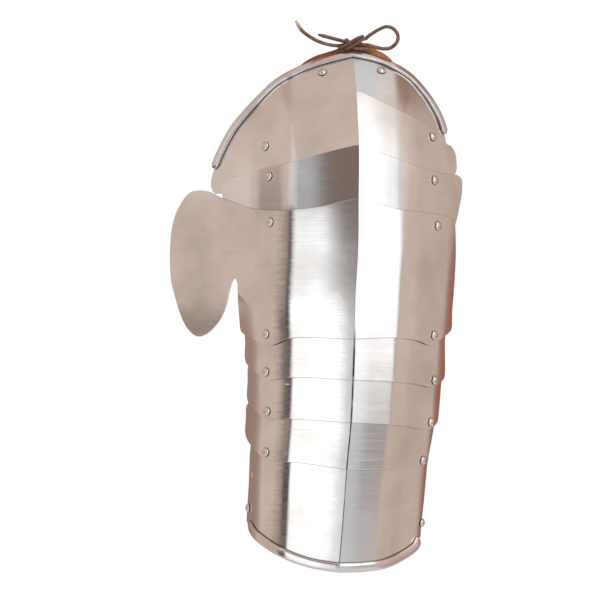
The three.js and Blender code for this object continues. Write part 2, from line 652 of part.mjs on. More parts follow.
// The band's corners where it lies on the plate, at a side distance from the ridge
function seatedStation(side, z) {
  const face = plateOffset('arm_strap');
  const corner = (dz, off) => place(side, z + dz, off).p;
  return [corner(HALF_WIDE, face), corner(-HALF_WIDE, face),
    corner(-HALF_WIDE, face - STRAP_THICK), corner(HALF_WIDE, face - STRAP_THICK)];
}
const frontStations = STRAP_FRONT_SIDES.map((side) => seatedStation(side, seats.strap_rivet_front.p.z));
const backStations = STRAP_BACK_SIDES.map((side) => seatedStation(side, seats.strap_rivet_back.p.z));
const middleOf = (ring) => ring.reduce((sum, p) => sum.addScaledVector(p, 1 / ring.length),
  new THREE.Vector3());

// The middle line of the strap between the two places where it lies on the plate
function strapLine() {
  const from = middleOf(frontStations[frontStations.length - 1]);
  const to = middleOf(backStations[0]);
  const line = new THREE.CatmullRomCurve3([
    middleOf(frontStations[2]), from,
    new THREE.Vector3(from.x + 1, from.y + STRAP_LEAVES, from.z - 1),
    new THREE.Vector3(from.x + STRAP_CORNER, STRAP_TURN.corner, STRAP_SAG.front),
    new THREE.Vector3((from.x + to.x) / 2, STRAP_TURN.middle, STRAP_SAG.middle),
    new THREE.Vector3(to.x - STRAP_CORNER, STRAP_TURN.corner, STRAP_SAG.back),
    new THREE.Vector3(to.x - 1, to.y + STRAP_LEAVES, to.z + 1),
    to, middleOf(backStations[1])], false, 'centripetal');
  return { from, to, points: line.getSpacedPoints(STRAP_ROUNDS) };
}
const loop = strapLine();

function strapGeometry() {
  const free = [];
  loop.points.slice(1, -1).forEach((p, i) => {
    const near = Math.min(p.distanceTo(loop.from), p.distanceTo(loop.to));
    if (near < STRAP_CLEAR || p.y < Math.min(loop.from.y, loop.to.y)) return;
    const ahead = loop.points[i + 2].clone().sub(loop.points[i]);
    const out = new THREE.Vector3(-ahead.y, ahead.x, 0).normalize();
    const corner = (dz, o) => new THREE.Vector3(p.x + out.x * o, p.y + out.y * o, p.z + dz);
    const t = STRAP_THICK / 2;
    free.push([corner(HALF_WIDE, t), corner(-HALF_WIDE, t), corner(-HALF_WIDE, -t),
      corner(HALF_WIDE, -t)]);
  });
  return cutHoles(band([...frontStations, ...free, ...backStations]), holesIn('arm_strap'), HOLE_R);
}

// The strap's buckle, a plain frame round the strap behind the arm
const FRAME_BAR = 3;
const FRAME_LONG = 8;
const FRAME_GAP = { thick: 0.5, wide: 0.6 };

function rectangle(path, x, y) {
  path.moveTo(-x, -y).lineTo(x, -y).lineTo(x, y).lineTo(-x, y).closePath();
  return path;
}

function addBuckle(group) {
  const [holeX, holeY] = [STRAP_THICK / 2 + FRAME_GAP.thick, HALF_WIDE + FRAME_GAP.wide];
  const shape = rectangle(new THREE.Shape(), holeX + FRAME_BAR, holeY + FRAME_BAR);
  shape.holes.push(rectangle(new THREE.Path(), holeX, holeY));
  const frame = new THREE.ExtrudeGeometry(shape, { depth: FRAME_LONG, bevelEnabled: false });
  frame.deleteAttribute('normal');
  frame.deleteAttribute('uv');
  const g = weld(frame);
  g.translate(0, 0, -FRAME_LONG / 2);
  const half = STRAP_ROUNDS / 2;
  const along = loop.points[half + 1].clone().sub(loop.points[half - 1]).setZ(0).normalize();
  const buckle = add(group, 'strap_buckle', g, steel(0.6, 0.6, 0.6, 0.3));
  buckle.quaternion.setFromRotationMatrix(new THREE.Matrix4().makeBasis(
    new THREE.Vector3(-along.y, along.x, 0), new THREE.Vector3(0, 0, 1), along));
  buckle.position.copy(loop.points[half]);
}

for (const name of Object.keys(PLATES)) {
  add(part, name, plateGeometry(name), steel(0.66, 0.66, 0.67, 0.25));
}
add(part, 'shoulder_tab', tabGeometry(), leather(0.36, 0.17, 0.1));
add(part, 'shoulder_lace', laceGeometry(), leather(0.3, 0.16, 0.1));
add(part, 'arm_strap', strapGeometry(), leather(0.26, 0.14, 0.09));
addBuckle(part);
for (const [name, s] of Object.entries(seats)) {
  const rivet = add(part, name, rivetGeometry(s.length), steel(0.7, 0.69, 0.68, 0.2));
  rivet.quaternion.setFromUnitVectors(new THREE.Vector3(0, 1, 0), s.n);
  rivet.position.copy(s.p).addScaledVector(s.n, SEAT);
}

export default part;
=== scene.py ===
import json
import math

import bpy
import numpy as np
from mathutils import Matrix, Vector
from mathutils.geometry import tessellate_polygon

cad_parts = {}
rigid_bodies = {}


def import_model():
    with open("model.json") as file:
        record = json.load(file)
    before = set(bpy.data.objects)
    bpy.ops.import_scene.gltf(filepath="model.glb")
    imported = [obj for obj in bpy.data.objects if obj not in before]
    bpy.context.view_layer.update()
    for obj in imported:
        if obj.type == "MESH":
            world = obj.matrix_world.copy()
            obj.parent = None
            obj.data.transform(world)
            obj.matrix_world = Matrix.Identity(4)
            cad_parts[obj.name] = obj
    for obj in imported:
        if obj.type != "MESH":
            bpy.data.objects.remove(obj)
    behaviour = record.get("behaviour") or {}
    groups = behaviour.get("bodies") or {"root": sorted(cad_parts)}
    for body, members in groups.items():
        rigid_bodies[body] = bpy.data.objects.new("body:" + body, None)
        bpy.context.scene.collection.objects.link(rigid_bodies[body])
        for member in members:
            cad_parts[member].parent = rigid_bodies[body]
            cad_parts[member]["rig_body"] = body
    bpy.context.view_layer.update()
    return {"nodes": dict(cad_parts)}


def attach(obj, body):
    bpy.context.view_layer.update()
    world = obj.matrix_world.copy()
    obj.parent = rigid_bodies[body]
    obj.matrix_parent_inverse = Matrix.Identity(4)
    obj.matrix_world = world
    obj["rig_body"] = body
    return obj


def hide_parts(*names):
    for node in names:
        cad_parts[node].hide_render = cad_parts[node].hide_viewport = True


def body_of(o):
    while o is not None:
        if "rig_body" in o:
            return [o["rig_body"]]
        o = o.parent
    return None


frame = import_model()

# Left steel pauldron. Lengths are in millimetres up to the mesh builders, which write metres.
MM = 0.001

# Photo framing: the picture is 600 pixels square and shows 0.82 mm of the object in each pixel
PIXEL = 0.82
PICTURE = 600
RIM_TOP_PIXEL = (354, 50)
CAMERA_BACK = 9000
SCALE_AT = 50                # the photo's scale holds this far in front of the origin
FILM = 36                    # the width of the camera's sensor
SEES_TO = 30                 # metres

# Sheet and rivets
SHEET = 1.2
PITCH = 2.4                  # from one layer of plates to the next
SHANK_R = 1.4
HEAD_R = 3.6
HEAD_H = 2.4
HEAD_EDGE = 0.25             # the bevel under a head and at the peened end
HEAD_FLAT = 0.12             # the small flat on top of the dome
HEAD_SEEN = 1                # a head is seen about this far off its plate
DOME_STEP = 9                # degrees
PEEN_R = 2.9
PEEN_H = 0.9
PEEN_FLAT = 0.75             # its flat end, as a share of its radius
PEEN_EDGE = 0.1
SEAT = 0.3                   # the gap under a head
PEEN_GAP = 0.5               # and the one at the peened end
ROLL_R = 2.8
CUFF_ROLL_R = 3.2
EDGE_ROUND = 0.45            # how far the round of a plate's edge stands out

# Leather
TAB_THICK = 2.2
TAB_GAP = 0.5
STRAP_THICK = 2.2
STRAP_GAP = 0.7
STRAP_WIDE = 20
LACE_R = 1.5
LACE_SIDES = 14
LACE_HOLE_R = 3

# How far each plate lies in from the main plate, in layers
LAYER = {"main_plate": 0, "upper_lame_2": 1, "upper_lame_1": 2, "cap_plate": 3,
         "lower_lame_1": 1, "lower_lame_2": 2, "lower_lame_3": 3, "arm_cannon": 4}

# The ridge down the middle, as (height, y) and as (height, x). The outside is toward minus y.
RIDGE_Y = [(25, 19), (0, -9), (-33, -44), (-55, -59), (-78, -69), (-100, -75), (-122, -79),
           (-160, -82), (-236, -83), (-343, -80), (-440, -74)]
RIDGE_X = [(25, -1), (0, -0.5), (-33, 2), (-78, 4), (-122, 3.7), (-163, 3.3), (-205, 1),
           (-236, 0.4), (-270, -0.8), (-305, -2.5), (-343, -6), (-385, -9), (-427, -12.6),
           (-440, -13.5)]
# Width of the section at each height, as a share of its width at the main plate
WIDE_FRONT = [(25, 1), (-205, 1), (-250, 0.97), (-343, 0.95), (-427, 0.88), (-440, 0.87)]
WIDE_BACK = [(25, 1), (-205, 1), (-250, 0.96), (-343, 0.95), (-427, 0.93), (-440, 0.93)]

# The section: slopes, and the soft bends between them as (from, wide)
RIDGE_SLOPE = 0.2
FLAT_1 = 0.38
FRONT_BEND_0 = (0, 44)
BACK_BEND_0 = (0, 28)
FRONT_2 = 1.15
FRONT_BEND_1 = (50, 18)
FRONT_BEND_2 = (80, 12)
BACK_2 = 1.3
BACK_BEND_1 = (30, 24)
BACK_BEND_2 = (73, 10)
WING_SLOPE = 0.727
UPPER_SLOPE = 1.4
EDGE_SLOPE = 3.4
CUFF_SLOPE = 3.8
SLOT = 100                   # the slot between wing and plate is this far in front of the ridge
SLOT_TOP = -186
SLOT_EASE = 50
WING_BOTTOM = -250
BACK_TURN = (-120, 100)      # where the back edge turns inward: top, height
CUFF_TURN = (-240, 130)      # where both edges turn in a little more

# Working sizes
NORMAL_STEP = 0.05           # how far apart the surface is felt for the way it faces
ON_RIDGE = 1e-6
SEAT_ROUNDS = 14
SEAT_SHARE = 0.8
FINE_PARTS = 24              # parts between two points of a smooth line, before it is evened out
JOIN_SHARE = 0.3             # points closer than this share of a step are one
KEYS_PER_MM = 2000           # points are one where their rounded places are
LEAST_CELL = 1e-4            # a cell or face with less area is left out
LEAST_FACE = 1e-7
WHOLE_CELL = 0.999           # a cell with more than this share of its area is one face
CREASE_NEAR = 0.03           # points this near to a crease are on it
NUDGE = 0.08                 # a crease takes its normals this far to each side
EDGE_ANGLES = (0, 30, 60, 90)   # degrees round half of a sheet's edge


def smooth(rows):
    """A smooth curve through (height, value) rows, for one height or an array."""
    z = np.array([r[0] for r in rows], float)[::-1]
    v = np.array([r[1] for r in rows], float)[::-1]
    ends = np.arange(len(z))
    low = np.maximum(ends - 1, 0)
    high = np.minimum(ends + 1, len(z) - 1)
    slope = (v[high] - v[low]) / (z[high] - z[low])

    def curve(h):
        h = np.clip(h, z[0], z[-1])
        i = np.clip(np.searchsorted(z, h, side="right") - 1, 0, len(z) - 2)
        span = z[i + 1] - z[i]
        t = (h - z[i]) / span
        return ((2 * t**3 - 3 * t**2 + 1) * v[i] + (t**3 - 2 * t**2 + t) * slope[i] * span
                + (3 * t**2 - 2 * t**3) * v[i + 1] + (t**3 - t**2) * slope[i + 1] * span)

    return curve


ridge_x = smooth(RIDGE_X)
ridge_y = smooth(RIDGE_Y)
wide_front = smooth(WIDE_FRONT)
wide_back = smooth(WIDE_BACK)


def ease(t):
    """A soft step from 0 to 1."""
    t = np.clip(t, 0, 1)
    return t * t * (3 - 2 * t)


def bend_rise(t, bend):
    """Distance gained over a soft bend, per unit of added slope."""
    start, wide = bend
    x = (t - start) / wide
    inside = np.clip(x, 0, 1)
    return wide * np.where(x < 1, inside**3 - inside**4 / 2, x - 0.5)


def half_fall(t, wide, middle, edge, bends):
    """How far one half falls back at a share t of its width, past its three soft bends."""
    slopes = (RIDGE_SLOPE, FLAT_1, middle, edge)
    gained = RIDGE_SLOPE * t
    for before, after, bend in zip(slopes, slopes[1:], bends):
        gained = gained + (after - before) * bend_rise(t, bend)
    return wide * gained


def fall(side, z):
    """How far the surface falls back at a side distance from the ridge, at height z."""
    cuff = (CUFF_SLOPE - EDGE_SLOPE) * ease((CUFF_TURN[0] - z) / CUFF_TURN[1])
    edge = WING_SLOPE + (EDGE_SLOPE - WING_SLOPE) * ease((SLOT_TOP - z) / SLOT_EASE) + cuff
    edge = np.where((side < -SLOT) & (z > WING_BOTTOM), WING_SLOPE, edge)
    wide = wide_front(z)
    front = half_fall(np.maximum(-side, 0) / wide, wide, FRONT_2, edge,
                      (FRONT_BEND_0, FRONT_BEND_1, FRONT_BEND_2))
    edge = UPPER_SLOPE + (EDGE_SLOPE - UPPER_SLOPE) * ease((BACK_TURN[0] - z) / BACK_TURN[1]) + cuff
    wide = wide_back(z)
    back = half_fall(np.maximum(side, 0) / wide, wide, BACK_2, edge,
                     (BACK_BEND_0, BACK_BEND_1, BACK_BEND_2))
    return np.where(side < 0, front, back)


def surface(side, z):
    """The shared form of all plates, at a side distance from the ridge and a height."""
    return np.stack([ridge_x(z) + side, ridge_y(z) + fall(side, z), z], -1)


def unit(v):
    return v / np.linalg.norm(v, axis=-1, keepdims=True)


def across_surface(side, z):
    """The way the surface runs across, felt on one side of the ridge only."""
    d = NORMAL_STEP
    keep = np.where(side > 0, np.maximum(side, d), np.minimum(side, -d))
    return surface(keep + d / 2, z) - surface(keep - d / 2, z)


def place(side, z, off):
    """Points of the surface, off outward along the normal, and the normals."""
    side = np.asarray(side, float)
    z = np.asarray(z, float)
    up = surface(side, z + NORMAL_STEP) - surface(side, z - NORMAL_STEP)
    n = unit(np.cross(across_surface(side, z), up))
    on_ridge = np.abs(side) < ON_RIDGE
    n[..., 0] = np.where(on_ridge, 0, n[..., 0])
    n = unit(n)
    return surface(side, z) + n * np.asarray(off, float)[..., None], n


def seat(x, z, off):
    """The (side, height) whose points, off outward, are seen at x, z from outside."""
    x = np.asarray(x, float)
    z = np.asarray(z, float)
    side = x - ridge_x(z)
    h = z.copy()
    for _ in range(SEAT_ROUNDS):
        p = place(side, h, off)[0]
        side = side + SEAT_SHARE * (x - p[..., 0])
        h = h + SEAT_SHARE * (z - p[..., 2])
    return side, h


def measured(line):
    """The length along a line up to each of its points."""
    return np.concatenate([[0], np.cumsum(np.linalg.norm(np.diff(line, axis=0), axis=1))])


def between(p, q, start, end, t):
    """The place at t on the way from p at start to q at end."""
    return (p * (end - t) + q * (t - start)) / (end - start)


def spline(points, step):
    """A smooth line through points, with a point about every step."""
    p = [np.array(q, float) for q in points]
    if len(p) < 3:
        count = max(1, round(np.linalg.norm(p[1] - p[0]) / step))
        return np.array([p[0] + (p[1] - p[0]) * k / count for k in range(count + 1)])
    p = [2 * p[0] - p[1]] + p + [2 * p[-1] - p[-2]]
    fine = []
    for a, b, c, d in zip(p, p[1:], p[2:], p[3:]):
        t1, t2, t3 = np.cumsum([max(np.linalg.norm(v), 1e-6) ** 0.5 for v in (b - a, c - b, d - c)])
        for t in np.linspace(t1, t2, FINE_PARTS, endpoint=False):
            one = between(a, b, 0, t1, t)
            two = between(b, c, t1, t2, t)
            three = between(c, d, t2, t3, t)
            fine.append(between(between(one, two, 0, t2, t), between(two, three, t1, t3, t),
                                t1, t2, t))
    fine.append(p[-2])
    fine = np.array(fine)
    along = measured(fine)
    count = max(len(points) - 1, round(along[-1] / step))
    at = np.linspace(0, along[-1], count + 1)
    return np.stack([np.interp(at, along, fine[:, k]) for k in range(fine.shape[1])], -1)


def outline(runs, step):
    """Runs joined end to end into one closed outline, with its corners slightly rounded."""
    loop = []
    for points in runs:
        for q in spline(points, step):
            if not loop or np.linalg.norm(q - loop[-1]) > step * JOIN_SHARE:
                loop.append(q)
    if np.linalg.norm(loop[0] - loop[-1]) < step * JOIN_SHARE:
        loop.pop()
    loop = np.array(loop)
    return 0.5 * loop + 0.25 * (np.roll(loop, 1, 0) + np.roll(loop, -1, 0))


def inset(points, depth):
    """The same line, moved in by depth toward its right-hand side."""
    out = []
    for i, (x, z) in enumerate(points):
        a = points[max(i - 1, 0)]
        b = points[min(i + 1, len(points) - 1)]
        long = math.hypot(b[0] - a[0], b[1] - a[1])
        out.append((x + depth * (b[1] - a[1]) / long, z - depth * (b[0] - a[0]) / long))
    return out


# Outlines as seen from outside, (x, z); each run ends at a corner of the plate.
RIM = [(-119, -100), (-112.5, -83.5), (-101.5, -63), (-94.5, -54), (-80.5, -38.5), (-65, -24),
       (-45, -13), (-26, -6.2), (-14, -3), (-1, 0), (12.5, -2.6), (23, -5.6), (33, -10),
       (42, -14.8), (50, -21), (57.5, -29.3), (64.5, -38.5), (73.5, -55), (78, -70.5),
       (79, -77)]
CUFF_FRONT = [(-88, -390.5), (-82.5, -399.5), (-70.5, -409), (-53.5, -418), (-34.5, -424),
              (-12.5, -427.5)]
CUFF_BACK = [(-12.5, -427.5), (6.5, -427), (24.5, -424.5), (40, -418), (52.5, -409), (55, -402)]
RIM_PEAK = 9                 # the row of the rim that is on the ridge
RIM_EDGE = inset(RIM, ROLL_R)
RIM_EDGE_FRONT = RIM_EDGE[:RIM_PEAK + 1]
RIM_EDGE_BACK = RIM_EDGE[RIM_PEAK:]
CUFF_EDGE_FRONT = inset(CUFF_FRONT, -CUFF_ROLL_R)
CUFF_EDGE_BACK = inset(CUFF_BACK, -CUFF_ROLL_R)

PLATES = {
    "cap_plate": [
        RIM_EDGE_FRONT, RIM_EDGE_BACK, [(79, -77), (83, -81.5), (85, -95), (84, -101)],
        [(84, -101), (77, -103), (64, -91), (35, -68), (1, -50)],
        [(1, -50), (-40, -68), (-74, -90), (-98, -106), (-116, -115.5)],
        [(-116, -115.5), (-118, -108)]],
    "upper_lame_1": [
        [(-118, -110.5), (-116.5, -105), (-114.5, -101), (-110.5, -97.5), (-104, -92),
         (-97, -84.5), (-79.5, -74.5), (-65, -66.5), (-44.5, -55), (-20.5, -43), (2, -33)],
        [(2, -33), (6.5, -34.5), (28, -45), (50, -55.5), (63, -63), (72, -69.5), (76, -75),
         (76.5, -81)],
        [(76.5, -81), (77, -100), (76, -116)], [(76, -116), (60, -114), (35, -106), (4, -95)],
        [(4, -95), (-30, -105), (-70, -113.5), (-95, -116), (-116, -117)]],
    "upper_lame_2": [
        [(-108.5, -117.5), (-108.5, -108.5), (-107.5, -106), (-103.5, -105), (-92, -102.5),
         (-73, -96.5), (-52.5, -92.5), (-20.5, -83.5), (2.5, -78)],
        [(2.5, -78), (5.5, -78.5), (21.5, -84.5), (37, -90), (59, -97.5), (69, -100.5),
         (77, -101.5), (86, -102.5), (89, -105), (89.5, -110)],
        [(89.5, -110), (89, -118), (87.5, -126), (85, -138), (81, -150)],
        [(81, -150), (60, -152), (35, -146), (4, -139)],
        [(4, -139), (-30, -146), (-66, -150.5), (-95, -142), (-106, -130)],
        [(-106, -130), (-108.5, -117.5)]],
    "main_plate": [
        [(-83, -131), (-75, -131.5), (-64, -132), (-45, -131), (-25.5, -128.5), (-11.5, -125),
         (3.5, -122)],
        [(3.5, -122), (12.5, -124.5), (26, -128), (37.5, -131.5), (50, -132.5), (69, -135),
         (77, -136.5), (81.5, -138.5), (83.5, -142)],
        [(83.5, -142), (84, -167), (82.5, -197), (81, -215), (81, -227)],
        [(81, -227), (80, -230.5), (78, -232), (73.5, -235.5), (64, -242), (54.5, -238.5),
         (48, -237), (33.5, -235.5), (12.5, -236), (0.5, -236.5)],
        [(0.5, -236.5), (-48.5, -235.5), (-57.5, -237.5), (-65.5, -241), (-71.5, -242),
         (-89.5, -233.5), (-93.5, -230.5)],
        [(-93.5, -230.5), (-95, -210), (-95.5, -197), (-96, -189.5), (-98, -186)],
        [(-98, -186), (-100.5, -189.5), (-102.5, -196), (-105, -207.5), (-109, -218.5),
         (-115, -227), (-122, -233), (-128.5, -235), (-132.5, -233), (-138, -227),
         (-143.5, -215), (-147.5, -201.5), (-150.5, -189.5), (-151.5, -176.5), (-151.5, -163),
         (-150, -146), (-147, -134.5), (-142.5, -125.5), (-136, -117), (-129.5, -115),
         (-118, -116.5), (-110.5, -120.5), (-101.5, -124.5), (-92, -128), (-83, -131)]],
    "lower_lame_1": [
        [(-87, -226.5), (-60, -225.5), (-30, -224.5), (0.5, -224.5)],
        [(0.5, -224.5), (40, -225), (73, -227)],
        [(73, -227), (75, -230), (75, -240), (75, -268), (74.5, -270)],
        [(74.5, -270), (72, -272), (64.5, -276.5), (56, -274.5), (47.5, -273), (31, -271.5),
         (-1, -270)],
        [(-1, -270), (-48.5, -268), (-59, -269), (-71.5, -270), (-78, -266.5), (-87, -259.5)],
        [(-87, -259.5), (-89.5, -255), (-89.5, -240), (-89.5, -230), (-87, -226.5)]],
    "lower_lame_2": [
        [(-85, -256), (-60, -256.5), (-30, -258), (-0.6, -258.5)],
        [(-0.6, -258.5), (40, -261), (70, -263.5)],
        [(70, -263.5), (72, -266), (71.5, -280), (69.5, -304)],
        [(69.5, -304), (68, -307), (61, -311.5), (54, -310.5), (47.5, -309), (28.5, -306.5),
         (-3, -305)],
        [(-3, -305), (-42.5, -302.5), (-59, -302), (-71.5, -302), (-79.5, -297.5), (-86.5, -291)],
        [(-86.5, -291), (-88, -286), (-87.5, -272), (-87, -259), (-85, -256)]],
    "lower_lame_3": [
        [(-86, -289), (-60, -290.5), (-30, -292.5), (-2.6, -293.5)],
        [(-2.6, -293.5), (35, -295.5), (65, -297.5)],
        [(65, -297.5), (67, -300), (65.5, -312), (60.5, -338.5)],
        [(60.5, -338.5), (58, -340.5), (54, -341), (39.5, -342.5), (14, -343.5), (-6, -343.5)],
        [(-6, -343.5), (-44.5, -338), (-55.5, -337.5), (-71, -335.5), (-79.5, -330.5),
         (-87.5, -321)],
        [(-87.5, -321), (-89.5, -315.5), (-89, -302), (-88.5, -292), (-86, -289)]],
    "arm_cannon": [
        [(-82, -321.5), (-60, -324.5), (-30, -328.5), (-5.2, -332)],
        [(-5.2, -332), (30, -331), (58, -329.5)],
        [(58, -329.5), (61.5, -332), (60.5, -340.5), (58, -368), (55.5, -392), (55, -401.5)],
        CUFF_EDGE_BACK[::-1], CUFF_EDGE_FRONT[::-1],
        [(-88.5, -389.5), (-88, -379.5), (-86.5, -355), (-85.5, -330), (-84.5, -324),
         (-82, -321.5)]],
}
TAB = [[(-45, -16), (-44, -12), (-38.5, -7.5), (-31, -3.5), (-23, -1), (-15, 1.5), (-5, 6.5),
        (3, 8), (10, 6.5), (17, 2.5), (26, -2.5), (31.5, -7.5), (33.5, -12)],
       [(33.5, -12), (34, -22), (28, -27), (2, -24), (-30, -30), (-42, -28), (-45, -16)]]
LACE_HOLES = [(-2, 2), (8.3, 2)]

# Pairs of rivets: where the heads are seen in front and at the back, (x, z), and what each
# pair holds, outer then inner
RIVET_PAIRS = [
    ("cap_rivet", (-73.5, -78.5), (65.5, -70.5), "upper_lame_1", "cap_plate"),
    ("upper_rivet", (-70.5, -103.5), (67, -106.5), "upper_lame_2", "upper_lame_1"),
    ("main_rivet", (-69.5, -141), (69.5, -144), "main_plate", "upper_lame_2"),
    ("lower_rivet_1", (-73, -233), (66.5, -234), "main_plate", "lower_lame_1"),
    ("lower_rivet_2", (-73, -264), (67, -271), "lower_lame_1", "lower_lame_2"),
    ("lower_rivet_3", (-72, -296.5), (64, -305.5), "lower_lame_2", "lower_lame_3"),
    ("cannon_rivet", (-73, -330), (57.5, -337), "lower_lame_3", "arm_cannon"),
    ("tab_rivet", (-26, -17), (23, -15.5), "cap_plate", "shoulder_tab"),
    ("strap_rivet", (-87.5, -376.5), (56.5, -388.5), "arm_cannon", "arm_strap"),
]
RIVETS = {}
for pair, in_front, at_back, outer, inner in RIVET_PAIRS:
    RIVETS[pair + "_front"] = (*in_front, outer, inner)
    RIVETS[pair + "_back"] = (*at_back, outer, inner)


def outer_face(name):
    """How far a plate's or a leather's outer face lies off the shared form, inward as minus."""
    if name == "shoulder_tab":
        return -LAYER["cap_plate"] * PITCH - SHEET - TAB_GAP
    if name == "arm_strap":
        return -LAYER["arm_cannon"] * PITCH - SHEET - STRAP_GAP
    return -LAYER[name] * PITCH


def thickness(name):
    return {"shoulder_tab": TAB_THICK, "arm_strap": STRAP_THICK}.get(name, SHEET)


def rivet_seat(name):
    """Where a rivet goes through, which way it points, and its length between the two ends."""
    x, z, outer, inner = RIVETS[name]
    off = outer_face(outer)
    side, h = seat(x, z, off + HEAD_SEEN)
    p, n = place(side, h, off)
    length = off - outer_face(inner) + thickness(inner) + SEAT + PEEN_GAP
    return p, n, length


def clip(poly, axis, limit, sign):
    """The part of a polygon on one side of a line of constant side or height."""
    out = []
    for p, q in zip(poly, poly[1:] + poly[:1]):
        dp = sign * (p[axis] - limit)
        dq = sign * (q[axis] - limit)
        if dp >= 0:
            out.append(p)
        if (dp > 0 > dq) or (dp < 0 < dq):
            t = dp / (dp - dq)
            cut = [p[0] + (q[0] - p[0]) * t, p[1] + (q[1] - p[1]) * t]
            cut[axis] = limit
            out.append(tuple(cut))
    return out


def area(poly):
    return 0.5 * sum(p[0] * q[1] - q[0] * p[1] for p, q in zip(poly, poly[1:] + poly[:1]))


def grid_lines(low, high, cell, keep):
    """Lines from low to high about a cell apart that include the kept values."""
    marks = sorted([low] + [k for k in keep if low < k < high] + [high])
    lines = []
    for a, b in zip(marks, marks[1:]):
        count = max(1, math.ceil((b - a) / cell))
        lines += [a + (b - a) * k / count for k in range(count)]
    return lines + [high]


def flat_mesh(loop, cell):
    """Points and faces that fill an outline of (side, height) on a grid.

    The ridge and the slot's line are grid lines, so no face crosses them.
    """
    poly = [tuple(p) for p in loop]
    sides = [p[0] for p in poly]
    heights = [p[1] for p in poly]
    columns = grid_lines(min(sides) - 1, max(sides) + 1, cell, (0, -SLOT))
    rows = grid_lines(min(heights) - 1, max(heights) + 1, cell, ())
    ids = {}
    points = []

    def number(p):
        key = (round(p[0] * KEYS_PER_MM), round(p[1] * KEYS_PER_MM))
        if key not in ids:
            ids[key] = len(points)
            points.append(p)
        return ids[key]

    faces = []
    for left, right in zip(columns, columns[1:]):
        strip = clip(clip(poly, 0, left, 1), 0, right, -1)
        for low, high in zip(rows, rows[1:]):
            part = clip(clip(strip, 1, low, 1), 1, high, -1)
            if len(part) < 3 or abs(area(part)) < LEAST_CELL:
                continue
            whole = abs(area(part)) > WHOLE_CELL * (right - left) * (high - low)
            if whole:
                loops = [range(len(part))]
            else:
                loops = tessellate_polygon([[Vector((p[0], p[1], 0)) for p in part]])
            for face in loops:
                corner = [part[k] for k in face]
                if abs(area(corner)) < LEAST_FACE:
                    continue
                if area(corner) < 0:
                    corner = corner[::-1]
                index = []
                for p in corner:
                    k = number(p)
                    if k not in index:
                        index.append(k)
                if len(index) > 2:
                    faces.append(index)
    return np.array(points), faces


def rim_loops(faces):
    """The open edges of faces, chained into closed loops."""
    edges = {(a, b) for f in faces for a, b in zip(f, f[1:] + f[:1])}
    after = {}
    for a, b in edges:
        if (b, a) not in edges:
            after.setdefault(a, []).append(b)
    loops = []
    while after:
        start = min(after)
        loop = [start]
        while True:
            here = loop[-1]
            follow = after[here].pop()
            if not after[here]:
                del after[here]
            if follow == start or follow not in after:
                break
            loop.append(follow)
        loops.append(loop)
    return loops


def to_mesh(name, points, faces):
    """A smooth-shaded mesh from points in millimetres."""
    mesh = bpy.data.meshes.new(name)
    mesh.from_pydata([tuple(float(c) * MM for c in p) for p in points], [], faces)
    mesh.polygons.foreach_set("use_smooth", [True] * len(mesh.polygons))
    return mesh


def linked(name, data):
    """A new object in the scene."""
    obj = bpy.data.objects.new(name, data)
    bpy.context.scene.collection.objects.link(obj)
    return obj


class Shell:
    """Points in millimetres, faces, and a normal for each corner of each face."""

    def __init__(self):
        self.points = []
        self.faces = []
        self.normals = []
        self.ridge = []

    def add(self, points, faces, normals, ridge):
        """ridge is the distance from the ridge of each point."""
        start = len(self.points)
        self.points += [tuple(p) for p in points]
        self.ridge += list(ridge)
        self.faces += [[start + k for k in f] for f in faces]
        self.normals += normals

    def build(self, name):
        mesh = to_mesh(name, self.points, self.faces)
        flat = [tuple(float(c) for c in n) for face in self.normals for n in face]
        if len(flat) == len(mesh.loops):
            mesh.normals_split_custom_set(flat)
        kept = mesh.attributes.new("ridge", "FLOAT", "POINT")
        kept.data.foreach_set("value", [float(v) for v in self.ridge])
        return linked(name, mesh)


def shading(side, z):
    """The way each point of the surface faces, tilted only as the ridge is at that height."""
    d = NORMAL_STEP
    up = np.stack([ridge_x(z + d) - ridge_x(z - d), ridge_y(z + d) - ridge_y(z - d),
                   np.full(len(z), 2 * d)], -1)
    return unit(np.cross(across_surface(side, z), up))


def bent_sheet(loop, off, thick, cell, calm=(0, 0), rounding=EDGE_ROUND):
    """A bent sheet with rounded edges, smooth but for a crisp ridge.

    calm is the middle height of a plate, and the share of the tilt above and below it that
    its shading leaves out.
    """
    side, height = seat(loop[:, 0], loop[:, 1], off)
    flat, faces = flat_mesh(np.stack([side, height], -1), cell)
    count = len(flat)
    outer, n = place(flat[:, 0], flat[:, 1], np.full(count, float(off)))
    inner = outer - n * thick
    crease = (np.abs(flat[:, 0]) < CREASE_NEAR) | (np.abs(flat[:, 0] + SLOT) < CREASE_NEAR)
    before = np.where(crease, flat[:, 0] - NUDGE, flat[:, 0])
    after = np.where(crease, flat[:, 0] + NUDGE, flat[:, 0])
    middle_height, share = calm
    level = middle_height + (flat[:, 1] - middle_height) * (1 - share)
    left = shading(before, level)
    right = shading(after, level)
    shell = Shell()
    normals = []
    for f in faces:
        middle = sum(flat[k][0] for k in f) / len(f)
        normals.append([(left if middle < flat[k][0] else right)[k] for k in f])
    ridge = np.abs(flat[:, 0])
    shell.add(outer, faces, normals, ridge)
    shell.add(inner, [f[::-1] for f in faces], [[-m for m in face[::-1]] for face in normals],
              ridge)
    for ring in rim_loops(faces):
        if len(ring) < 3:
            continue
        ring = np.array(ring)
        add_edge(shell, outer[ring], inner[ring], n[ring], ridge[ring], rounding)
    return shell


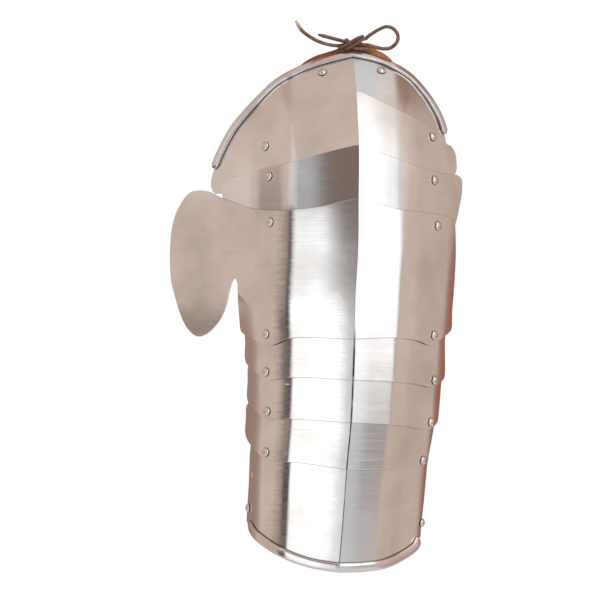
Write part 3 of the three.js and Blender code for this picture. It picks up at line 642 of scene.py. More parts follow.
def add_edge(shell, outer, inner, n, ridge, rounding):
    """The rounded edge of a sheet, from its outer face round to its inner face."""
    tangent = unit(np.roll(outer, -1, 0) - np.roll(outer, 1, 0) + 1e-9)
    out = unit(np.cross(tangent, n))
    rings = []
    facing = []
    for face, up, angles in ((outer, n, EDGE_ANGLES), (inner, -n, EDGE_ANGLES[::-1])):
        for degrees in angles:
            a = math.radians(degrees)
            rings.append(face + out * rounding * math.sin(a) - up * rounding * (1 - math.cos(a)))
            facing.append(out * math.sin(a) + up * math.cos(a))
    m = len(outer)
    faces = []
    normals = []
    for i in range(len(rings) - 1):
        for k in range(m):
            j = (k + 1) % m
            faces.append([i * m + k, (i + 1) * m + k, (i + 1) * m + j, i * m + j])
            normals.append([facing[i][k], facing[i + 1][k], facing[i + 1][j], facing[i][j]])
    shell.add(np.concatenate(rings), faces, normals, np.tile(ridge, len(rings)))


def mesh_object(name, points, faces, sharp_angle=30):
    """A smooth-shaded object with edges sharper than an angle kept crisp."""
    mesh = to_mesh(name, points, faces)
    mesh.set_sharp_from_angle(angle=math.radians(sharp_angle))
    return linked(name, mesh)


def rings_to_faces(count, m):
    """Faces between rings of m points each, with flat ends."""
    faces = []
    for i in range(count - 1):
        for k in range(m):
            j = (k + 1) % m
            faces.append([i * m + k, i * m + j, (i + 1) * m + j, (i + 1) * m + k])
    faces.append(list(range(m))[::-1])
    faces.append([(count - 1) * m + k for k in range(m)])
    return faces


def tube_points(path, radius):
    """Rings of points round a path; radius(i, angle) is the radius in its row i at an angle."""
    ahead = unit(np.gradient(path, axis=0))
    side = np.array([0.3, 0.2, 1.0])
    points = []
    for i, (p, t) in enumerate(zip(path, ahead)):
        side = unit(side - t * side.dot(t))
        over = np.cross(t, side)
        for k in range(LACE_SIDES):
            a = 2 * math.pi * k / LACE_SIDES
            r = radius(i, a)
            points.append(p + side * r * math.cos(a) + over * r * math.sin(a))
    return points


def applied(obj):
    """obj with its modifiers made part of its mesh."""
    bpy.context.view_layer.update()
    depsgraph = bpy.context.evaluated_depsgraph_get()
    made = bpy.data.meshes.new_from_object(obj.evaluated_get(depsgraph))
    obj.modifiers.clear()
    obj.data = made
    return obj


# Camera, at the photo's viewing angle: level, straight at the outside of the arm
def make_camera():
    data = bpy.data.cameras.new("camera")
    camera = linked("camera", data)
    middle = PICTURE / 2
    x = (middle - RIM_TOP_PIXEL[0]) * PIXEL
    z = (RIM_TOP_PIXEL[1] - middle) * PIXEL
    camera.location = (x * MM, -CAMERA_BACK * MM, z * MM)
    camera.rotation_euler = (math.radians(90), 0, 0)
    data.sensor_width = FILM
    data.lens = FILM * (CAMERA_BACK - SCALE_AT) / (PICTURE * PIXEL)
    data.clip_end = SEES_TO
    bpy.context.scene.camera = camera


make_camera()


# The lace. [x, y, z] along its route: the long end, down through one hole of the tab and
# up through the other, the knot, the bow, and the short end
LACE = [(-48, 2, 25.5), (-43, 1.5, 17.5), (-33.5, 1.5, 10.5), (-24, 2, 6.5), (-14, 4, 4.8),
        (-8, 7, 5.6), (-2, 8.6, 6.7), (3, 8.6, 6.5), (6.6, 7.2, 5.6), (8.3, 6.5, 3.7),
        (8.3, 8.7, 0.8), (7, 10.7, -1.2), (3, 11.3, -1.6), (-0.7, 10.7, -1.2), (-2, 8.7, 0.8),
        (-2.2, 6, 3.9), (-1.2, 4.2, 6), (1.5, 4.7, 8.2), (5, 5.3, 9.6), (9.5, 5.3, 10.8),
        (14, 5, 14), (21.5, 4.5, 18.5), (27.5, 4, 20.5), (33, 3.5, 18.5), (36.5, 3, 13),
        (35.5, 2.5, 7.5), (30.5, 2, 3), (24.5, 1.5, 2.2), (17, 1.2, 3.8), (12, 1, 5.2),
        (7, 1.4, 5.4), (2, 1.9, 5.8), (-3, 2.4, 7), (-12.5, 3, 9.5), (-22, 3, 12), (-29.5, 3, 14)]
LACE_STEP = 1
LACE_GROOVE = 0.16
TIP_TAPER = 5
TIP_SHARE = 0.55             # how thick a tip is
CRISP_LACE = 80              # degrees


def lace_piece():
    """The lace as one grooved tube, and its route in metres."""
    path = spline(LACE, LACE_STEP)
    along = measured(path)

    def radius(i, a):
        to_tip = min(along[i], along[-1] - along[i])
        taper = TIP_SHARE + (1 - TIP_SHARE) * float(ease(to_tip / TIP_TAPER))
        return LACE_R * taper * (1 - LACE_GROOVE * max(0, math.cos(2 * a)) ** 6)

    faces = rings_to_faces(len(path), LACE_SIDES)
    lace = mesh_object("lace", tube_points(path, radius), faces, CRISP_LACE)
    return lace, path * MM, float(along[-1]) * MM


lace, lace_path, lace_length = lace_piece()


# The knot: short turns of the same lace over the crossing, each through [x, y, z] points
KNOT_TURNS = [[(-12.5, 2.6, 2.6), (-9, -0.6, 3.8), (-3, -1.6, 7.2), (3.5, -1, 11), (8, 2.6, 12.6)],
              [(-9, 2.8, 1.4), (-5, -1, 2.4), (1, -2.2, 5.8), (7.2, -1.2, 9.6), (11.5, 2.4, 11)],
              [(-6.8, 2.6, 10), (-4.4, -0.4, 8.4), (0.5, -0.6, 2.8), (7, -0.4, 2.3), (13, 2.2, 1.6)],
              [(-14, 4.4, 0), (-6, 2.2, 0.9), (2, 1.6, 1.3), (9, 2.2, 0.6), (14.5, 4.2, -1)]]
KNOT_R = 1.35
KNOT_STEP = 0.8
KNOT_END = 0.7               # how thick a turn is where it ends
END_ROWS = 2                 # a strand or roll reaches its full size in this many rows


def end_share(i, last, least):
    """The size of row i of 0 to last, as a share that is least at both ends."""
    return least + (1 - least) * min(1, min(i, last - i) / END_ROWS)


def knot_piece():
    """The turns of the knot as one mesh of rounded strands."""
    points = []
    faces = []
    for turn in KNOT_TURNS:
        path = spline(turn, KNOT_STEP)
        last = len(path) - 1
        start = len(points)
        points += tube_points(path, lambda i, a: KNOT_R * end_share(i, last, KNOT_END))
        faces += [[start + k for k in f] for f in rings_to_faces(len(path), LACE_SIDES)]
    return mesh_object("lace_knot", points, faces, CRISP_LACE)


def colour(r, g, b):
    """A colour as it looks on a screen, 0 to 255, turned into light."""
    return tuple(((c / 255 + 0.055) / 1.055) ** 2.4 if c > 10 else c / 3294 for c in (r, g, b)) + (1,)


class Tree:
    """Short calls for building a node tree."""

    def __init__(self, tree):
        self.tree = tree

    def give(self, socket, given):
        """A socket takes another one's output, or a plain value."""
        if isinstance(given, bpy.types.NodeSocket):
            self.tree.links.new(given, socket)
        else:
            socket.default_value = given

    def node(self, kind, inputs, **settings):
        made = self.tree.nodes.new("ShaderNode" + kind)
        for name, value in settings.items():
            setattr(made, name, value)
        for key, given in inputs.items():
            self.give(made.inputs[key], given)
        return made

    def parts(self, vector):
        return self.node("SeparateXYZ", {0: vector}).outputs

    def math(self, kind, one, two=0.0):
        return self.node("Math", {0: one, 1: two}, operation=kind).outputs[0]

    def mix(self, amount, one, two):
        made = self.node("Mix", {}, data_type="RGBA")
        for key, given in (("Factor", amount), (6, one), (7, two)):
            self.give(made.inputs[key], given)
        return made.outputs[2]

    def range(self, value, low, high, to_low, to_high, **settings):
        inputs = {"Value": value, "From Min": low, "From Max": high, "To Min": to_low,
                  "To Max": to_high}
        return self.node("MapRange", inputs, **settings).outputs["Result"]

    def ramp(self, value, stops):
        made = self.node("ValToRGB", {"Fac": value})
        elements = made.color_ramp.elements
        while len(elements) < len(stops):
            elements.new(0.5)
        for element, (at, shade) in zip(elements, stops):
            element.position = at
            element.color = shade
        return made.outputs["Color"]


class Finish(Tree):
    """A material. Its patterns are laid out in the object's own metres."""

    def __init__(self, name):
        self.material = bpy.data.materials.new(name)
        self.material.use_nodes = True
        super().__init__(self.material.node_tree)
        self.place = self.node("TexCoord", {}).outputs["Object"]

    def mapped(self, vector, scale=(1, 1, 1), turn=0):
        """A vector turned by degrees about Y, or stretched."""
        inputs = {"Vector": vector, "Scale": scale, "Rotation": (0, math.radians(turn), 0)}
        return self.node("Mapping", inputs).outputs["Vector"]

    def noise(self, vector, scale, detail=4.0, rough=0.55):
        inputs = {"Vector": vector, "Scale": scale, "Detail": detail, "Roughness": rough}
        return self.node("TexNoise", inputs).outputs["Fac"]

    def cells(self, scale):
        return self.node("TexVoronoi", {"Vector": self.place, "Scale": scale}).outputs["Distance"]

    def attribute(self, name):
        return self.node("Attribute", {}, attribute_name=name).outputs["Fac"]

    def bump(self, height, strength, distance, before=None):
        inputs = {"Height": height, "Strength": strength, "Distance": distance}
        if before is not None:
            inputs["Normal"] = before
        return self.node("Bump", inputs).outputs["Normal"]

    def scuff(self, x, z, wide, high):
        """A ragged spot on the outside about (x, z), 0 to 1."""
        inputs = {"Vector": self.place, "Location": (x * MM, 0, z * MM),
                  "Scale": (wide * MM / 2, 1000, high * MM / 2)}
        moved = self.node("Mapping", inputs, vector_type="TEXTURE").outputs["Vector"]
        away = self.node("VectorMath", {0: moved}, operation="LENGTH").outputs["Value"]
        edge = self.range(self.noise(self.place, 900, 3), 0.3, 0.7, -0.6, 0.6)
        return self.range(self.math("ADD", away, edge), 0.5, 0.9, 0.85, 0)

    def put(self, **sockets):
        shader = self.tree.nodes["Principled BSDF"]
        for name, given in sockets.items():
            self.give(shader.inputs[name.replace("_", " ")], given)
        return self.material


# The dark colour painted in as shade: in the overlaps and under edges, in a line down the ridge
# crease, and as a dark reflection along the front bend
PAINTED_SHADE = colour(52, 45, 42)
# The painted dark reflection along the front bend: where it comes and goes, from the ridge
BAND_START = (52, 56)
BAND_STOP = (58, 67)
# Small bright rubbed places on the outside: (x, z, wide, high) in millimetres
SCUFFS = [(-55, -274, 5, 1.6), (-60, -305, 8, 1.3), (33, -240, 3, 2), (6, -71, 2, 2.5),
          (60, -275, 6, 1.2), (-84, -349, 1.5, 5)]


BRUSH_LINES = (22, 22, 1700)  # how often a pattern repeats in a metre, along X, Y and Z
SCRATCH_LINES = (8, 8, 210)
SCRATCH_TILT = 28
FRINGE = (60, 60, 420)
SHADOW_REACH = 0.0018        # metres


def ridge_shade_line(n, height):
    """Painted shade: the dark broken line along the ridge crease, strong on the lowest plates, 0 to
    1.
    """
    line = n.range(n.attribute("ridge"), 0.5, 1.5, 1, 0)
    below = n.range(height, -0.245, -0.225, 1, 0.1)
    broken = n.range(n.noise(n.place, 110, 3), 0.3, 0.5, 0.6, 1)
    return n.math("MULTIPLY", n.math("MULTIPLY", line, below), broken)


def bend_reflection_band(n, across, height):
    """Painted dark reflection along the front bend, with a ragged brushed fringe, from the main plate
    down, 0 to 1.
    """
    fringe = n.range(n.noise(n.mapped(n.place, FRINGE), 1, 4), 0.3, 0.7, -2, 2)
    ragged = n.math("ADD", n.attribute("ridge"), fringe)
    band = n.math("MULTIPLY", n.range(ragged, *BAND_START, 0, 0.45),
                  n.range(ragged, *BAND_STOP, 1, 0))
    front = n.range(across, -0.01, -0.005, 1, 0)
    under = n.range(height, -0.13, -0.126, 1, 0)
    return n.math("MULTIPLY", band, n.math("MULTIPLY", front, under))


def steel(name, light, dark, tilt, roughness, plate=False, depth=0.9):
    """Brushed steel: fine lines at a tilt, soft stains, thin scratches, and painted shade in the
    overlaps and under edges.
    """
    n = Finish(name)
    brush = n.noise(n.mapped(n.mapped(n.place, turn=tilt), BRUSH_LINES), 1, 3)
    stains = n.noise(n.place, 26, 5)
    scratch = n.noise(n.mapped(n.place, SCRATCH_LINES, SCRATCH_TILT), 1, 2)
    tone = n.mix(n.range(stains, 0.35, 0.7, 0, 1), light, dark)
    tone = n.mix(n.range(brush, 0.42, 0.7, 0, 0.12), tone, dark)
    tone = n.mix(n.range(scratch, 0.72, 0.76, 0, 0.3), tone, colour(252, 252, 252))
    # Painted shade: the colour darkens where the AO finds the surface hemmed in, as in the overlaps,
    # under plate edges and round rivet heads; depth is how dark it gets
    near = n.node("AmbientOcclusion", {"Distance": SHADOW_REACH}, samples=8).outputs["AO"]
    tone = n.mix(n.range(near, 0.5, 0.9, depth, 0), tone, PAINTED_SHADE)
    rough = n.math("ADD", n.range(brush, 0.3, 0.7, *roughness), n.range(stains, 0.4, 0.7, 0, 0.05))
    if plate:
        at = n.parts(n.place)
        # Painted shade: a dark line down the ridge crease
        tone = n.mix(ridge_shade_line(n, at["Z"]), tone, PAINTED_SHADE)
        # Painted reflection: a dark band along the front bend
        tone = n.mix(bend_reflection_band(n, at["X"], at["Z"]), tone, PAINTED_SHADE)
        for scuff in SCUFFS:
            spot = n.scuff(*scuff)
            tone = n.mix(spot, tone, colour(255, 252, 246))
            rough = n.math("ADD", rough, n.math("MULTIPLY", spot, 0.5))
    ripples = n.bump(n.noise(n.place, 75, 3), 0.06, 0.0005)
    waves = n.bump(n.noise(n.place, 24, 1), 0.12, 0.0012, ripples)
    lined = n.bump(brush, 0.035, 0.00005, waves)
    return n.put(Base_Color=tone, Metallic=1.0, Roughness=rough, Anisotropic=0.35, Normal=lined)


def leather(name, light, dark, grain, crease, lit_end=None, tip=None):
    """Worn leather: grain and creases, with an end painted paler where light falls on it, or a pale
    tip.

    lit_end is (from this X on, its light, its dark) for that painted light, and tip is (up to this X,
    its colour).
    """
    n = Finish(name)
    cells = n.cells(grain)
    patches = n.noise(n.place, 120, 6, 0.65)
    folds = n.noise(n.mapped(n.place, (1, 1, 3)), crease, 4)
    tone = n.mix(n.range(patches, 0.35, 0.68, 0, 1), dark, light)
    across = n.parts(n.place)["X"]
    # Painted light: past this X the leather is painted paler, where light falls on that end
    if lit_end is not None:
        past, pale, lit_dark = lit_end
        tone = n.mix(n.range(across, past, past + 0.008, 0, 1), tone,
                     n.mix(n.range(patches, 0.4, 0.6, 0, 1), lit_dark, pale))
    if tip is not None:
        end, pale = tip
        tone = n.mix(n.range(across, end, end + 0.004, 0.8, 0), tone, pale)
    tone = n.mix(n.range(cells, 0, 0.12, 0.35, 0), tone, dark)
    height = n.math("ADD", n.math("MULTIPLY", cells, 0.6), folds)
    return n.put(Base_Color=tone, Roughness=n.range(patches, 0.3, 0.7, 0.5, 0.72),
                 Normal=n.bump(height, 0.5, 0.0004), Specular_IOR_Level=0.35)


plate_steel = steel("plate_steel", colour(251, 250, 249), colour(236, 233, 230), 0,
                    (0.12, 0.19), plate=True)
rim_steel = steel("rim_steel", colour(251, 250, 249), colour(234, 231, 228), 0,
                  (0.13, 0.24), depth=0.5)
rivet_steel = steel("rivet_steel", colour(250, 249, 247), colour(228, 224, 219), 20,
                    (0.08, 0.16), depth=0.6)
buckle_steel = steel("buckle_steel", colour(214, 213, 211), colour(180, 177, 173), 90,
                     (0.22, 0.34))
# The tab's end past X 6 mm is painted paler, as light falls on it
tab_leather = leather("tab_leather", colour(168, 92, 58), colour(118, 54, 34), 1500, 260,
                      lit_end=(0.006, colour(206, 146, 96), colour(176, 92, 56)))
strap_leather = leather("strap_leather", colour(104, 64, 42), colour(60, 34, 22), 1300, 200)
lace_leather = leather("lace_leather", colour(150, 114, 90), colour(92, 64, 50), 2600, 700,
                       tip=(-0.047, colour(214, 198, 180)))


def dress(obj, body, node, material):
    """A made piece takes a node's place, its body, and its finish."""
    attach(obj, body)
    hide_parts(node)
    obj.data.materials.clear()
    obj.data.materials.append(material)
    return obj


knot = knot_piece()
dress(knot, "cap", "shoulder_lace", lace_leather)
dress(lace, "cap", "shoulder_lace", lace_leather)

# Plates
CELL = 3
STEP = 2.2
# Each lame is nearly straight from top to bottom: it shines as it does at its middle height,
# but for the share that is left of its tilt above and below
CALM = {"cap_plate": (-25, 0.3), "upper_lame_1": (-56, 0.6), "upper_lame_2": (-106, 0.7),
        "lower_lame_1": (-252, 0.8), "lower_lame_2": (-285, 0.8), "lower_lame_3": (-324, 0.8),
        "arm_cannon": (-385, 0.5)}


def body_of_node(node):
    return body_of(frame["nodes"][node])[0]


for plate, runs in PLATES.items():
    calm = CALM.get(plate, (0, 0))
    shell = bent_sheet(outline(runs, STEP), outer_face(plate), SHEET, CELL, calm)
    dress(shell.build(plate + "_sheet"), body_of_node(plate), plate, plate_steel)


# Folded rims of the cap and the arm cannon: a flattened roll with a crisp lower edge
RIM_SIDES = 32
RIM_LOW = 0.55               # the roll is folded this flat
RIM_WIDE = 1.2               # and this wide
RIM_SQUARE = 4               # how square the roll's corners are
RIM_CRISP = 50               # degrees
RIM_FROM = 4                 # the cap's roll starts this far from the front end of its edge
RIM_TO = 8                   # and stops this far before the back end
ROLL_STEP = 1.6
ROLL_LIFT = 0.7
ROLL_END = 0.6               # the roll's size at its ends, and how far it sinks there


def rim_profile(radius):
    """Points (across, out) round the section of the flattened roll."""
    power = 2 / RIM_SQUARE
    points = []
    for k in range(RIM_SIDES):
        a = 2 * math.pi * k / RIM_SIDES
        across, out = (math.copysign(abs(v) ** power, v) for v in (math.cos(a), math.sin(a)))
        points.append((radius * RIM_WIDE * across, radius * RIM_LOW * out - radius * (1 - RIM_LOW)))
    return points


def rim_piece(name, plate, line, radius):
    """The roll carried along the plate's edge."""
    off = outer_face(plate)
    side, height = seat(line[:, 0], line[:, 1], off)
    p, n = place(side, height, np.full(len(line), off - SHEET + radius + ROLL_LIFT))
    across = unit(np.cross(unit(np.gradient(p, axis=0)), n))
    points = []
    for i, (q, a, o) in enumerate(zip(p, across, n)):
        scale = end_share(i, len(p) - 1, ROLL_END)
        points += [q + (a * u + o * v) * scale - o * (1 - scale) * radius * ROLL_END
                   for u, v in rim_profile(radius)]
    return mesh_object(name, points, rings_to_faces(len(p), RIM_SIDES), RIM_CRISP)


def rolled_line(front, back):
    return np.concatenate([spline(front, ROLL_STEP), spline(back, ROLL_STEP)[1:]])


rim_line = rolled_line(RIM_EDGE_FRONT, RIM_EDGE_BACK)
along_rim = measured(rim_line)
rim_line = rim_line[(along_rim >= RIM_FROM) & (along_rim <= along_rim[-1] - RIM_TO)]
cuff_line = rolled_line(CUFF_EDGE_FRONT, CUFF_EDGE_BACK)
top_roll = rim_piece("cap_rim", "cap_plate", rim_line, ROLL_R)
low_roll = rim_piece("cannon_rim", "arm_cannon", cuff_line, CUFF_ROLL_R)
dress(top_roll, "cap", "cap_plate", rim_steel)
dress(low_roll, "cannon", "arm_cannon", rim_steel)


# Rivets
HEAD_TURNS = 36


def lathe(profile, turns):
    """Points and faces of a (radius, height) profile turned about the vertical axis."""
    angles = [2 * math.pi * k / turns for k in range(turns)]
    points = [(r * math.cos(a), r * math.sin(a), h) for r, h in profile for a in angles]
    return points, rings_to_faces(len(profile), turns)


def set_along(points, centre, n):
    """Points built about the vertical axis, turned to stand along n at a centre."""
    turn = Vector((0, 0, 1)).rotation_difference(Vector(n))
    return [turn @ Vector(q) + Vector(centre) for q in points]


def rivet_rows(length):
    """(radius, height) rows of a rivet, from its peened end to the top of its domed head."""
    rows = [(HEAD_FLAT, -length - PEEN_H), (PEEN_R * PEEN_FLAT, -length - PEEN_H),
            (PEEN_R, -length - HEAD_EDGE), (PEEN_R - PEEN_EDGE, -length), (SHANK_R, -length),
            (SHANK_R, 0), (HEAD_R - HEAD_EDGE, 0), (HEAD_R, HEAD_EDGE)]
    for degrees in range(DOME_STEP, 90, DOME_STEP):
        a = math.radians(degrees)
        rows.append((HEAD_R * math.cos(a), HEAD_EDGE + (HEAD_H - HEAD_EDGE) * math.sin(a)))
    return rows + [(HEAD_FLAT, HEAD_H)]


for name in RIVETS:
    p, n, length = rivet_seat(name)
    points, faces = lathe(rivet_rows(length), HEAD_TURNS)
    rivet = mesh_object(name + "_piece", set_along(points, p + n * SEAT, n), faces, RIM_CRISP)
    dress(rivet, body_of_node(name), name, rivet_steel)


# The tab, with the holes the lace goes through
TAB_STEP = 1.5
TAB_CELL = 2
TAB_ROUND = 0.8
HOLE_TURNS = 20
HOLE_REACH = 8


def tab_piece():
    """The tab, cut through along each hole's direction."""
    face = outer_face("shoulder_tab")
    tab = bent_sheet(outline(TAB, TAB_STEP), face, TAB_THICK, TAB_CELL, rounding=TAB_ROUND)
    tab = tab.build("tab")
    for x, z in LACE_HOLES:
        centre, n = place(*seat(x, z, face), face)
        rows = [(LACE_HOLE_R, -HOLE_REACH), (LACE_HOLE_R, HOLE_REACH)]
        points, faces = lathe(rows, HOLE_TURNS)
        cutter = mesh_object("cutter", set_along(points, centre, n), faces)
        cut = tab.modifiers.new("hole", "BOOLEAN")
        cut.operation = "DIFFERENCE"
        cut.solver = "EXACT"
        cut.object = cutter
        applied(tab)
        bpy.data.objects.remove(cutter)
    return tab


dress(tab_piece(), "cap", "shoulder_tab", tab_leather)


# The arm strap: its ends lie inside the arm cannon under the strap rivets, at these side
# distances from the ridge, and between them it goes round behind the arm
STRAP_FRONT_SIDES = (-59, -66, -75, -80.5)
STRAP_BACK_SIDES = (67.5, 64, 53, 45)
STRAP_LEAVES = 18            # it leaves the plate straight back for this far
STRAP_EASE = 1               # and this far in, and down at the front or up at the back
STRAP_CORNER = 14            # it turns this far in from each side
STRAP_BACK = (42, 58, 42)    # how far back it is at its front corner, middle and back corner
STRAP_HEIGHT = (-379, -382.5, -386)   # its heights there
STRAP_STEP = 4
STRAP_FINE = 2.5
STRAP_CLEAR = 5              # no bend is nearer than this to where it leaves the plate
STRAP_CRISP = 60             # degrees
HALF_WIDE = STRAP_WIDE / 2
# Shares (along the width, through the thickness) round a section with soft edges
STRAP_SECTION = [(0.03, 0), (0.5, -0.06), (0.97, 0), (1, 0.25), (1, 0.75), (0.97, 1), (0.5, 1.06),
                 (0.03, 1), (0, 0.75), (0, 0.25)]


def corners(outer, inner):
    """(height, out) of a section's corners, from its upper outer one round."""
    return (HALF_WIDE, outer), (-HALF_WIDE, outer), (-HALF_WIDE, inner), (HALF_WIDE, inner)


def seated_ends(rivet, sides):
    """The corners of the sections where the strap lies on the plate."""
    z = rivet_seat(rivet)[0][2]
    face = outer_face("arm_strap")
    return [[place(side, z + dz, off)[0] for dz, off in corners(face, face - STRAP_THICK)]
            for side in sides]


def strap_route(front, back):
    """The middle line of the strap behind the arm, and where it leaves and meets the plate."""
    before, leave = sum(front[-2]) / 4, sum(front[-1]) / 4
    meet, after = sum(back[0]) / 4, sum(back[1]) / 4
    across = (leave[0] + STRAP_CORNER, (leave[0] + meet[0]) / 2, meet[0] - STRAP_CORNER)
    route = [before, leave, leave + np.array([STRAP_EASE, STRAP_LEAVES, -STRAP_EASE]),
             *zip(across, STRAP_BACK, STRAP_HEIGHT),
             meet + np.array([-STRAP_EASE, STRAP_LEAVES, STRAP_EASE]), meet, after]
    return spline(route, STRAP_STEP), leave, meet


def free_sections(route, leave, meet):
    """The corners of the sections where the strap is clear of the plate."""
    sections = []
    for last, here, following in zip(route, route[1:], route[2:]):
        near = min(np.linalg.norm(here - leave), np.linalg.norm(here - meet))
        if near < STRAP_CLEAR or here[1] < min(leave[1], meet[1]):
            continue
        ahead = following - last
        out = unit(np.array([-ahead[1], ahead[0], 0]))
        sections.append([here + out * o + np.array([0, 0, dz])
                         for dz, o in corners(STRAP_THICK / 2, -STRAP_THICK / 2)])
    return sections


def strap_piece(sections):
    """The strap, carried smoothly through its sections."""
    sections = np.array(sections)
    lines = [spline(sections[:, k], STRAP_FINE) for k in range(4)]
    count = min(len(line) for line in lines)
    lines = [line[np.linspace(0, len(line) - 1, count).round().astype(int)] for line in lines]
    points = []
    for high_out, low_out, low_in, high_in in zip(*lines):
        for w, t in STRAP_SECTION:
            upper = high_out * (1 - t) + high_in * t
            lower = low_out * (1 - t) + low_in * t
            points.append(upper * (1 - w) + lower * w)
    return mesh_object("strap", points, rings_to_faces(count, len(STRAP_SECTION)), STRAP_CRISP)


front_end = seated_ends("strap_rivet_front", STRAP_FRONT_SIDES)
back_end = seated_ends("strap_rivet_back", STRAP_BACK_SIDES)
route, leave, meet = strap_route(front_end, back_end)
strap = strap_piece(front_end + free_sections(route, leave, meet) + back_end)
dress(strap, "cannon", "arm_strap", strap_leather)


# The buckle keeps the CAD frame's form with softened edges
FRAME_BAR = 3
FRAME_LONG = 8
FRAME_GAP = (0.5, 0.6)       # round the strap, through its thickness and along its width
FRAME_ROUND = 0.5


def buckle_piece():
    """A plain frame round the strap, behind the arm."""
    at = len(route) // 2
    ahead = route[at + 1] - route[at - 1]
    ahead = unit(np.array([ahead[0], ahead[1], 0]))
    out = np.array([-ahead[1], ahead[0], 0])
    up = np.array([0, 0, 1])
    section = []
    for bar in (FRAME_BAR, 0):
        x = STRAP_THICK / 2 + FRAME_GAP[0] + bar
        y = HALF_WIDE + FRAME_GAP[1] + bar
        section += [(-x, -y), (x, -y), (x, y), (-x, y)]
    points = [route[at] + out * x + up * y + ahead * a
              for a in (-FRAME_LONG / 2, FRAME_LONG / 2) for x, y in section]
    faces = []
    for k in range(4):
        j = (k + 1) % 4
        faces += [[k, j, 4 + j, 4 + k], [8 + k, 12 + k, 12 + j, 8 + j],
                  [k, 8 + k, 8 + j, j], [4 + k, 4 + j, 12 + j, 12 + k]]
    buckle = mesh_object("buckle", points, faces)
    bevel = buckle.modifiers.new("round", "BEVEL")
    bevel.width = FRAME_ROUND * MM
    bevel.segments = 3
    bevel.limit_method = "ANGLE"
    return applied(buckle)


buckle = buckle_piece()
bpy.context.view_layer.update()
dress(buckle, "cannon", "strap_buckle", buckle_steel)


# Light and floor. What the steel mirrors, by direction: degrees round from the camera, minus
# toward the wearer's front, and what stands there.
GLOW = 1.3                    # how much brighter the soft boxes are than paper white


def tone(r, g, b):
    return tuple(c / GLOW for c in colour(r, g, b)[:3]) + (1,)


TONES = {"box": (1, 1, 1, 1), "silver": tone(206, 208, 212), "grey": tone(128, 127, 129),
         "dark": tone(78, 68, 65), "mist": tone(180, 182, 187),
         "umber": tone(118, 102, 95), "dun": tone(140, 127, 123),
         "wall": tone(203, 183, 172), "pale": tone(222, 212, 206), "clay": tone(150, 122, 110),
         "rust": tone(164, 88, 68), "floor": tone(84, 76, 74)}
WORLD_DEEP = [(-150, "clay"), (-110, "wall"), (-50, "wall"), (-30, "silver"), (30, "silver"),
              (60, "wall"), (120, "clay")]
WORLD_BELOW = [(-150, "clay"), (-110, "wall"), (-94, "wall"), (-87, "clay"), (-82, "dark"),
               (-55, "dark"), (-50, "grey"), (-46, "box"), (-28, "box"), (-22, "silver"),
               (12, "mist"), (28, "mist"), (36, "grey"), (46, "dun"), (62, "wall"),
               (104, "wall"), (124, "clay"), (148, "rust")]
WORLD_LOWER = [(-150, "clay"), (-110, "wall"), (-95, "wall"), (-88, "clay"), (-83, "dark"),
               (-55, "dark"), (-50, "silver"), (-47, "box"), (-24.5, "box"), (-22, "grey"),
               (4, "grey"), (12, "box"), (50, "box"), (56, "grey"), (62, "wall"), (100, "wall"),
               (122, "clay"), (146, "rust")]
WORLD_LEVEL = [(-150, "clay"), (-106, "wall"), (-67, "wall"), (-63, "umber"), (-56, "umber"),
               (-51, "silver"), (-47, "box"), (-26, "box"), (-22, "grey"),
               (2, "grey"), (12, "box"), (50, "box"), (56, "silver"), (64, "wall"), (100, "wall"),
               (122, "clay"), (146, "rust")]
WORLD_RAISED = [(-150, "clay"), (-106, "wall"), (-67, "wall"), (-62, "umber"), (-57, "umber"),
                (-48, "silver"), (-38, "box"), (-32, "silver"), (-27, "grey"), (-23, "umber"),
                (2, "grey"), (12, "box"), (46, "box"), (56, "silver"), (64, "wall"),
                (104, "wall"), (126, "clay"), (148, "rust")]
WORLD_TILTED = [(-150, "clay"), (-114, "wall"), (-104, "dun"), (-96, "dun"),
                (-91, "wall")] + WORLD_RAISED[2:]
WORLD_ABOVE = [(-160, "clay"), (-118, "wall"), (-80, "wall"), (-70, "pale"), (-50, "silver"),
               (-44, "silver"), (-41, "grey"), (-37.5, "umber"),
               (4, "umber"), (12, "box"), (38, "box"), (50, "silver"), (60, "pale"),
               (108, "wall"), (130, "clay"), (150, "rust")]
WORLD_HIGH = [(-160, "clay"), (-80, "wall"), (-12, "wall"), (2, "pale"), (12, "box"), (38, "box"),
              (60, "pale"), (92, "wall"), (118, "clay"), (136, "clay"), (152, "rust")]

# Straight overhead the place is given by how far it is across, -1 to 1
WORLD_TOP = [(-0.06, "wall"), (0.06, "pale"), (0.24, "silver"), (0.34, "pale"), (0.6, "wall"),
             (0.85, "clay")]
TOP_RISE = (56, 68)

# Rows of what stands round the object, from the floor up, and the heights in degrees over
# which each one takes over from the one below it
SKY = [((-60, -40), WORLD_DEEP), ((-12, -9), WORLD_BELOW), ((-5.2, -3.9), WORLD_LOWER),
       ((-0.3, 0.8), WORLD_LEVEL), ((1.5, 4), WORLD_RAISED), ((5.5, 7.5), WORLD_TILTED),
       ((10, 14), WORLD_ABOVE), ((33, 40), WORLD_HIGH)]


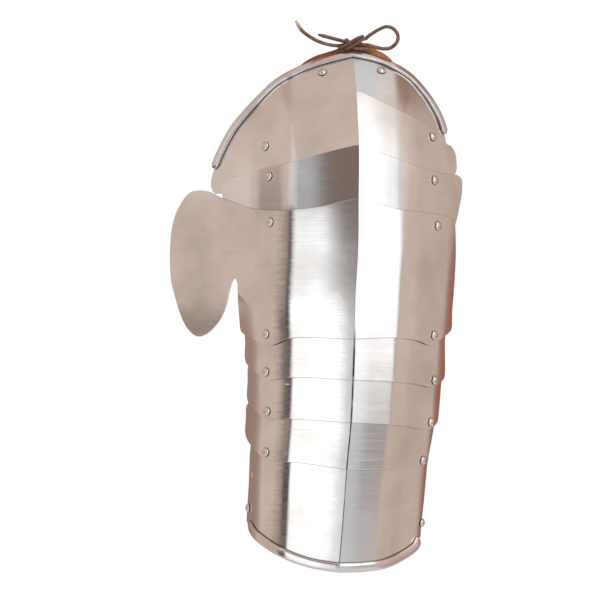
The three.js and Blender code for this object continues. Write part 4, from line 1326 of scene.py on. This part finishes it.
def make_world():
    """Soft boxes round the camera, beige walls at the sides, and plain white for the picture."""
    world = bpy.data.worlds.new("studio")
    bpy.context.scene.world = world
    world.use_nodes = True
    w = Tree(world.node_tree)
    w.tree.nodes.clear()
    at = w.parts(w.node("TexCoord", {}).outputs["Generated"])
    # The share of the way round: 0.5 is where the camera is, less is the wearer's front side
    turn = w.math("ARCTAN2", at["X"], w.math("MULTIPLY", at["Y"], -1))
    azimuth = w.math("ADD", w.math("DIVIDE", turn, 2 * math.pi), 0.5)
    height = w.math("ADD", w.math("DIVIDE", w.math("ARCSINE", at["Z"]), math.pi), 0.5)

    def raised(low, high):
        return w.range(height, low / 180 + 0.5, high / 180 + 0.5, 0, 1,
                       interpolation_type="SMOOTHSTEP")

    sky = TONES["floor"]
    for heights, row in SKY:
        stops = [(degrees / 360 + 0.5, TONES[name]) for degrees, name in row]
        sky = w.mix(raised(*heights), sky, w.ramp(azimuth, stops))
    across = w.math("ADD", w.math("MULTIPLY", at["X"], 0.5), 0.5)
    ceiling = w.ramp(across, [(x / 2 + 0.5, TONES[name]) for x, name in WORLD_TOP])
    sky = w.mix(raised(*TOP_RISE), sky, ceiling)
    glow = w.node("Background", {"Color": sky, "Strength": GLOW}).outputs[0]
    plain = w.node("Background", {"Color": (1, 1, 1, 1), "Strength": 1.0}).outputs[0]
    seen = w.node("LightPath", {}).outputs["Is Camera Ray"]
    choose = w.node("MixShader", {0: seen, 1: glow, 2: plain}).outputs[0]
    w.node("OutputWorld", {"Surface": choose})


def area_light(name, place_at, look_at, size, power):
    """A soft lamp that the steel doesn't mirror."""
    data = bpy.data.lights.new(name, "AREA")
    data.shape = "SQUARE"
    data.size = size
    data.energy = power
    lamp = linked(name, data)
    lamp.location = place_at
    lamp.rotation_euler = (Vector(look_at) - Vector(place_at)).to_track_quat("-Z", "Y").to_euler()
    lamp.visible_glossy = False


FLOOR_HALF = 0.7             # metres
FLOOR_LOW = -0.62


def make_floor():
    """A plain pale floor, well below the object."""
    corner = [(-FLOOR_HALF, -FLOOR_HALF, 0), (FLOOR_HALF, -FLOOR_HALF, 0),
              (FLOOR_HALF, FLOOR_HALF, 0), (-FLOOR_HALF, FLOOR_HALF, 0)]
    mesh = bpy.data.meshes.new("floor")
    mesh.from_pydata(corner, [], [(0, 1, 2, 3)])
    floor = linked("floor", mesh)
    floor.location = (0, 0, FLOOR_LOW)
    n = Finish("floor")
    tone = n.mix(n.noise(n.place, 6), colour(226, 232, 238), colour(232, 238, 244))
    floor.data.materials.append(n.put(Base_Color=tone, Roughness=0.8))


bpy.context.scene.view_settings.view_transform = "Standard"
make_world()
LIT = (0, 0, -0.2)
area_light("key", (-1.2, -2.2, 1.4), LIT, 1.2, 22)
area_light("fill", (1.6, -1.8, 0.3), LIT, 1.4, 10)
make_floor()
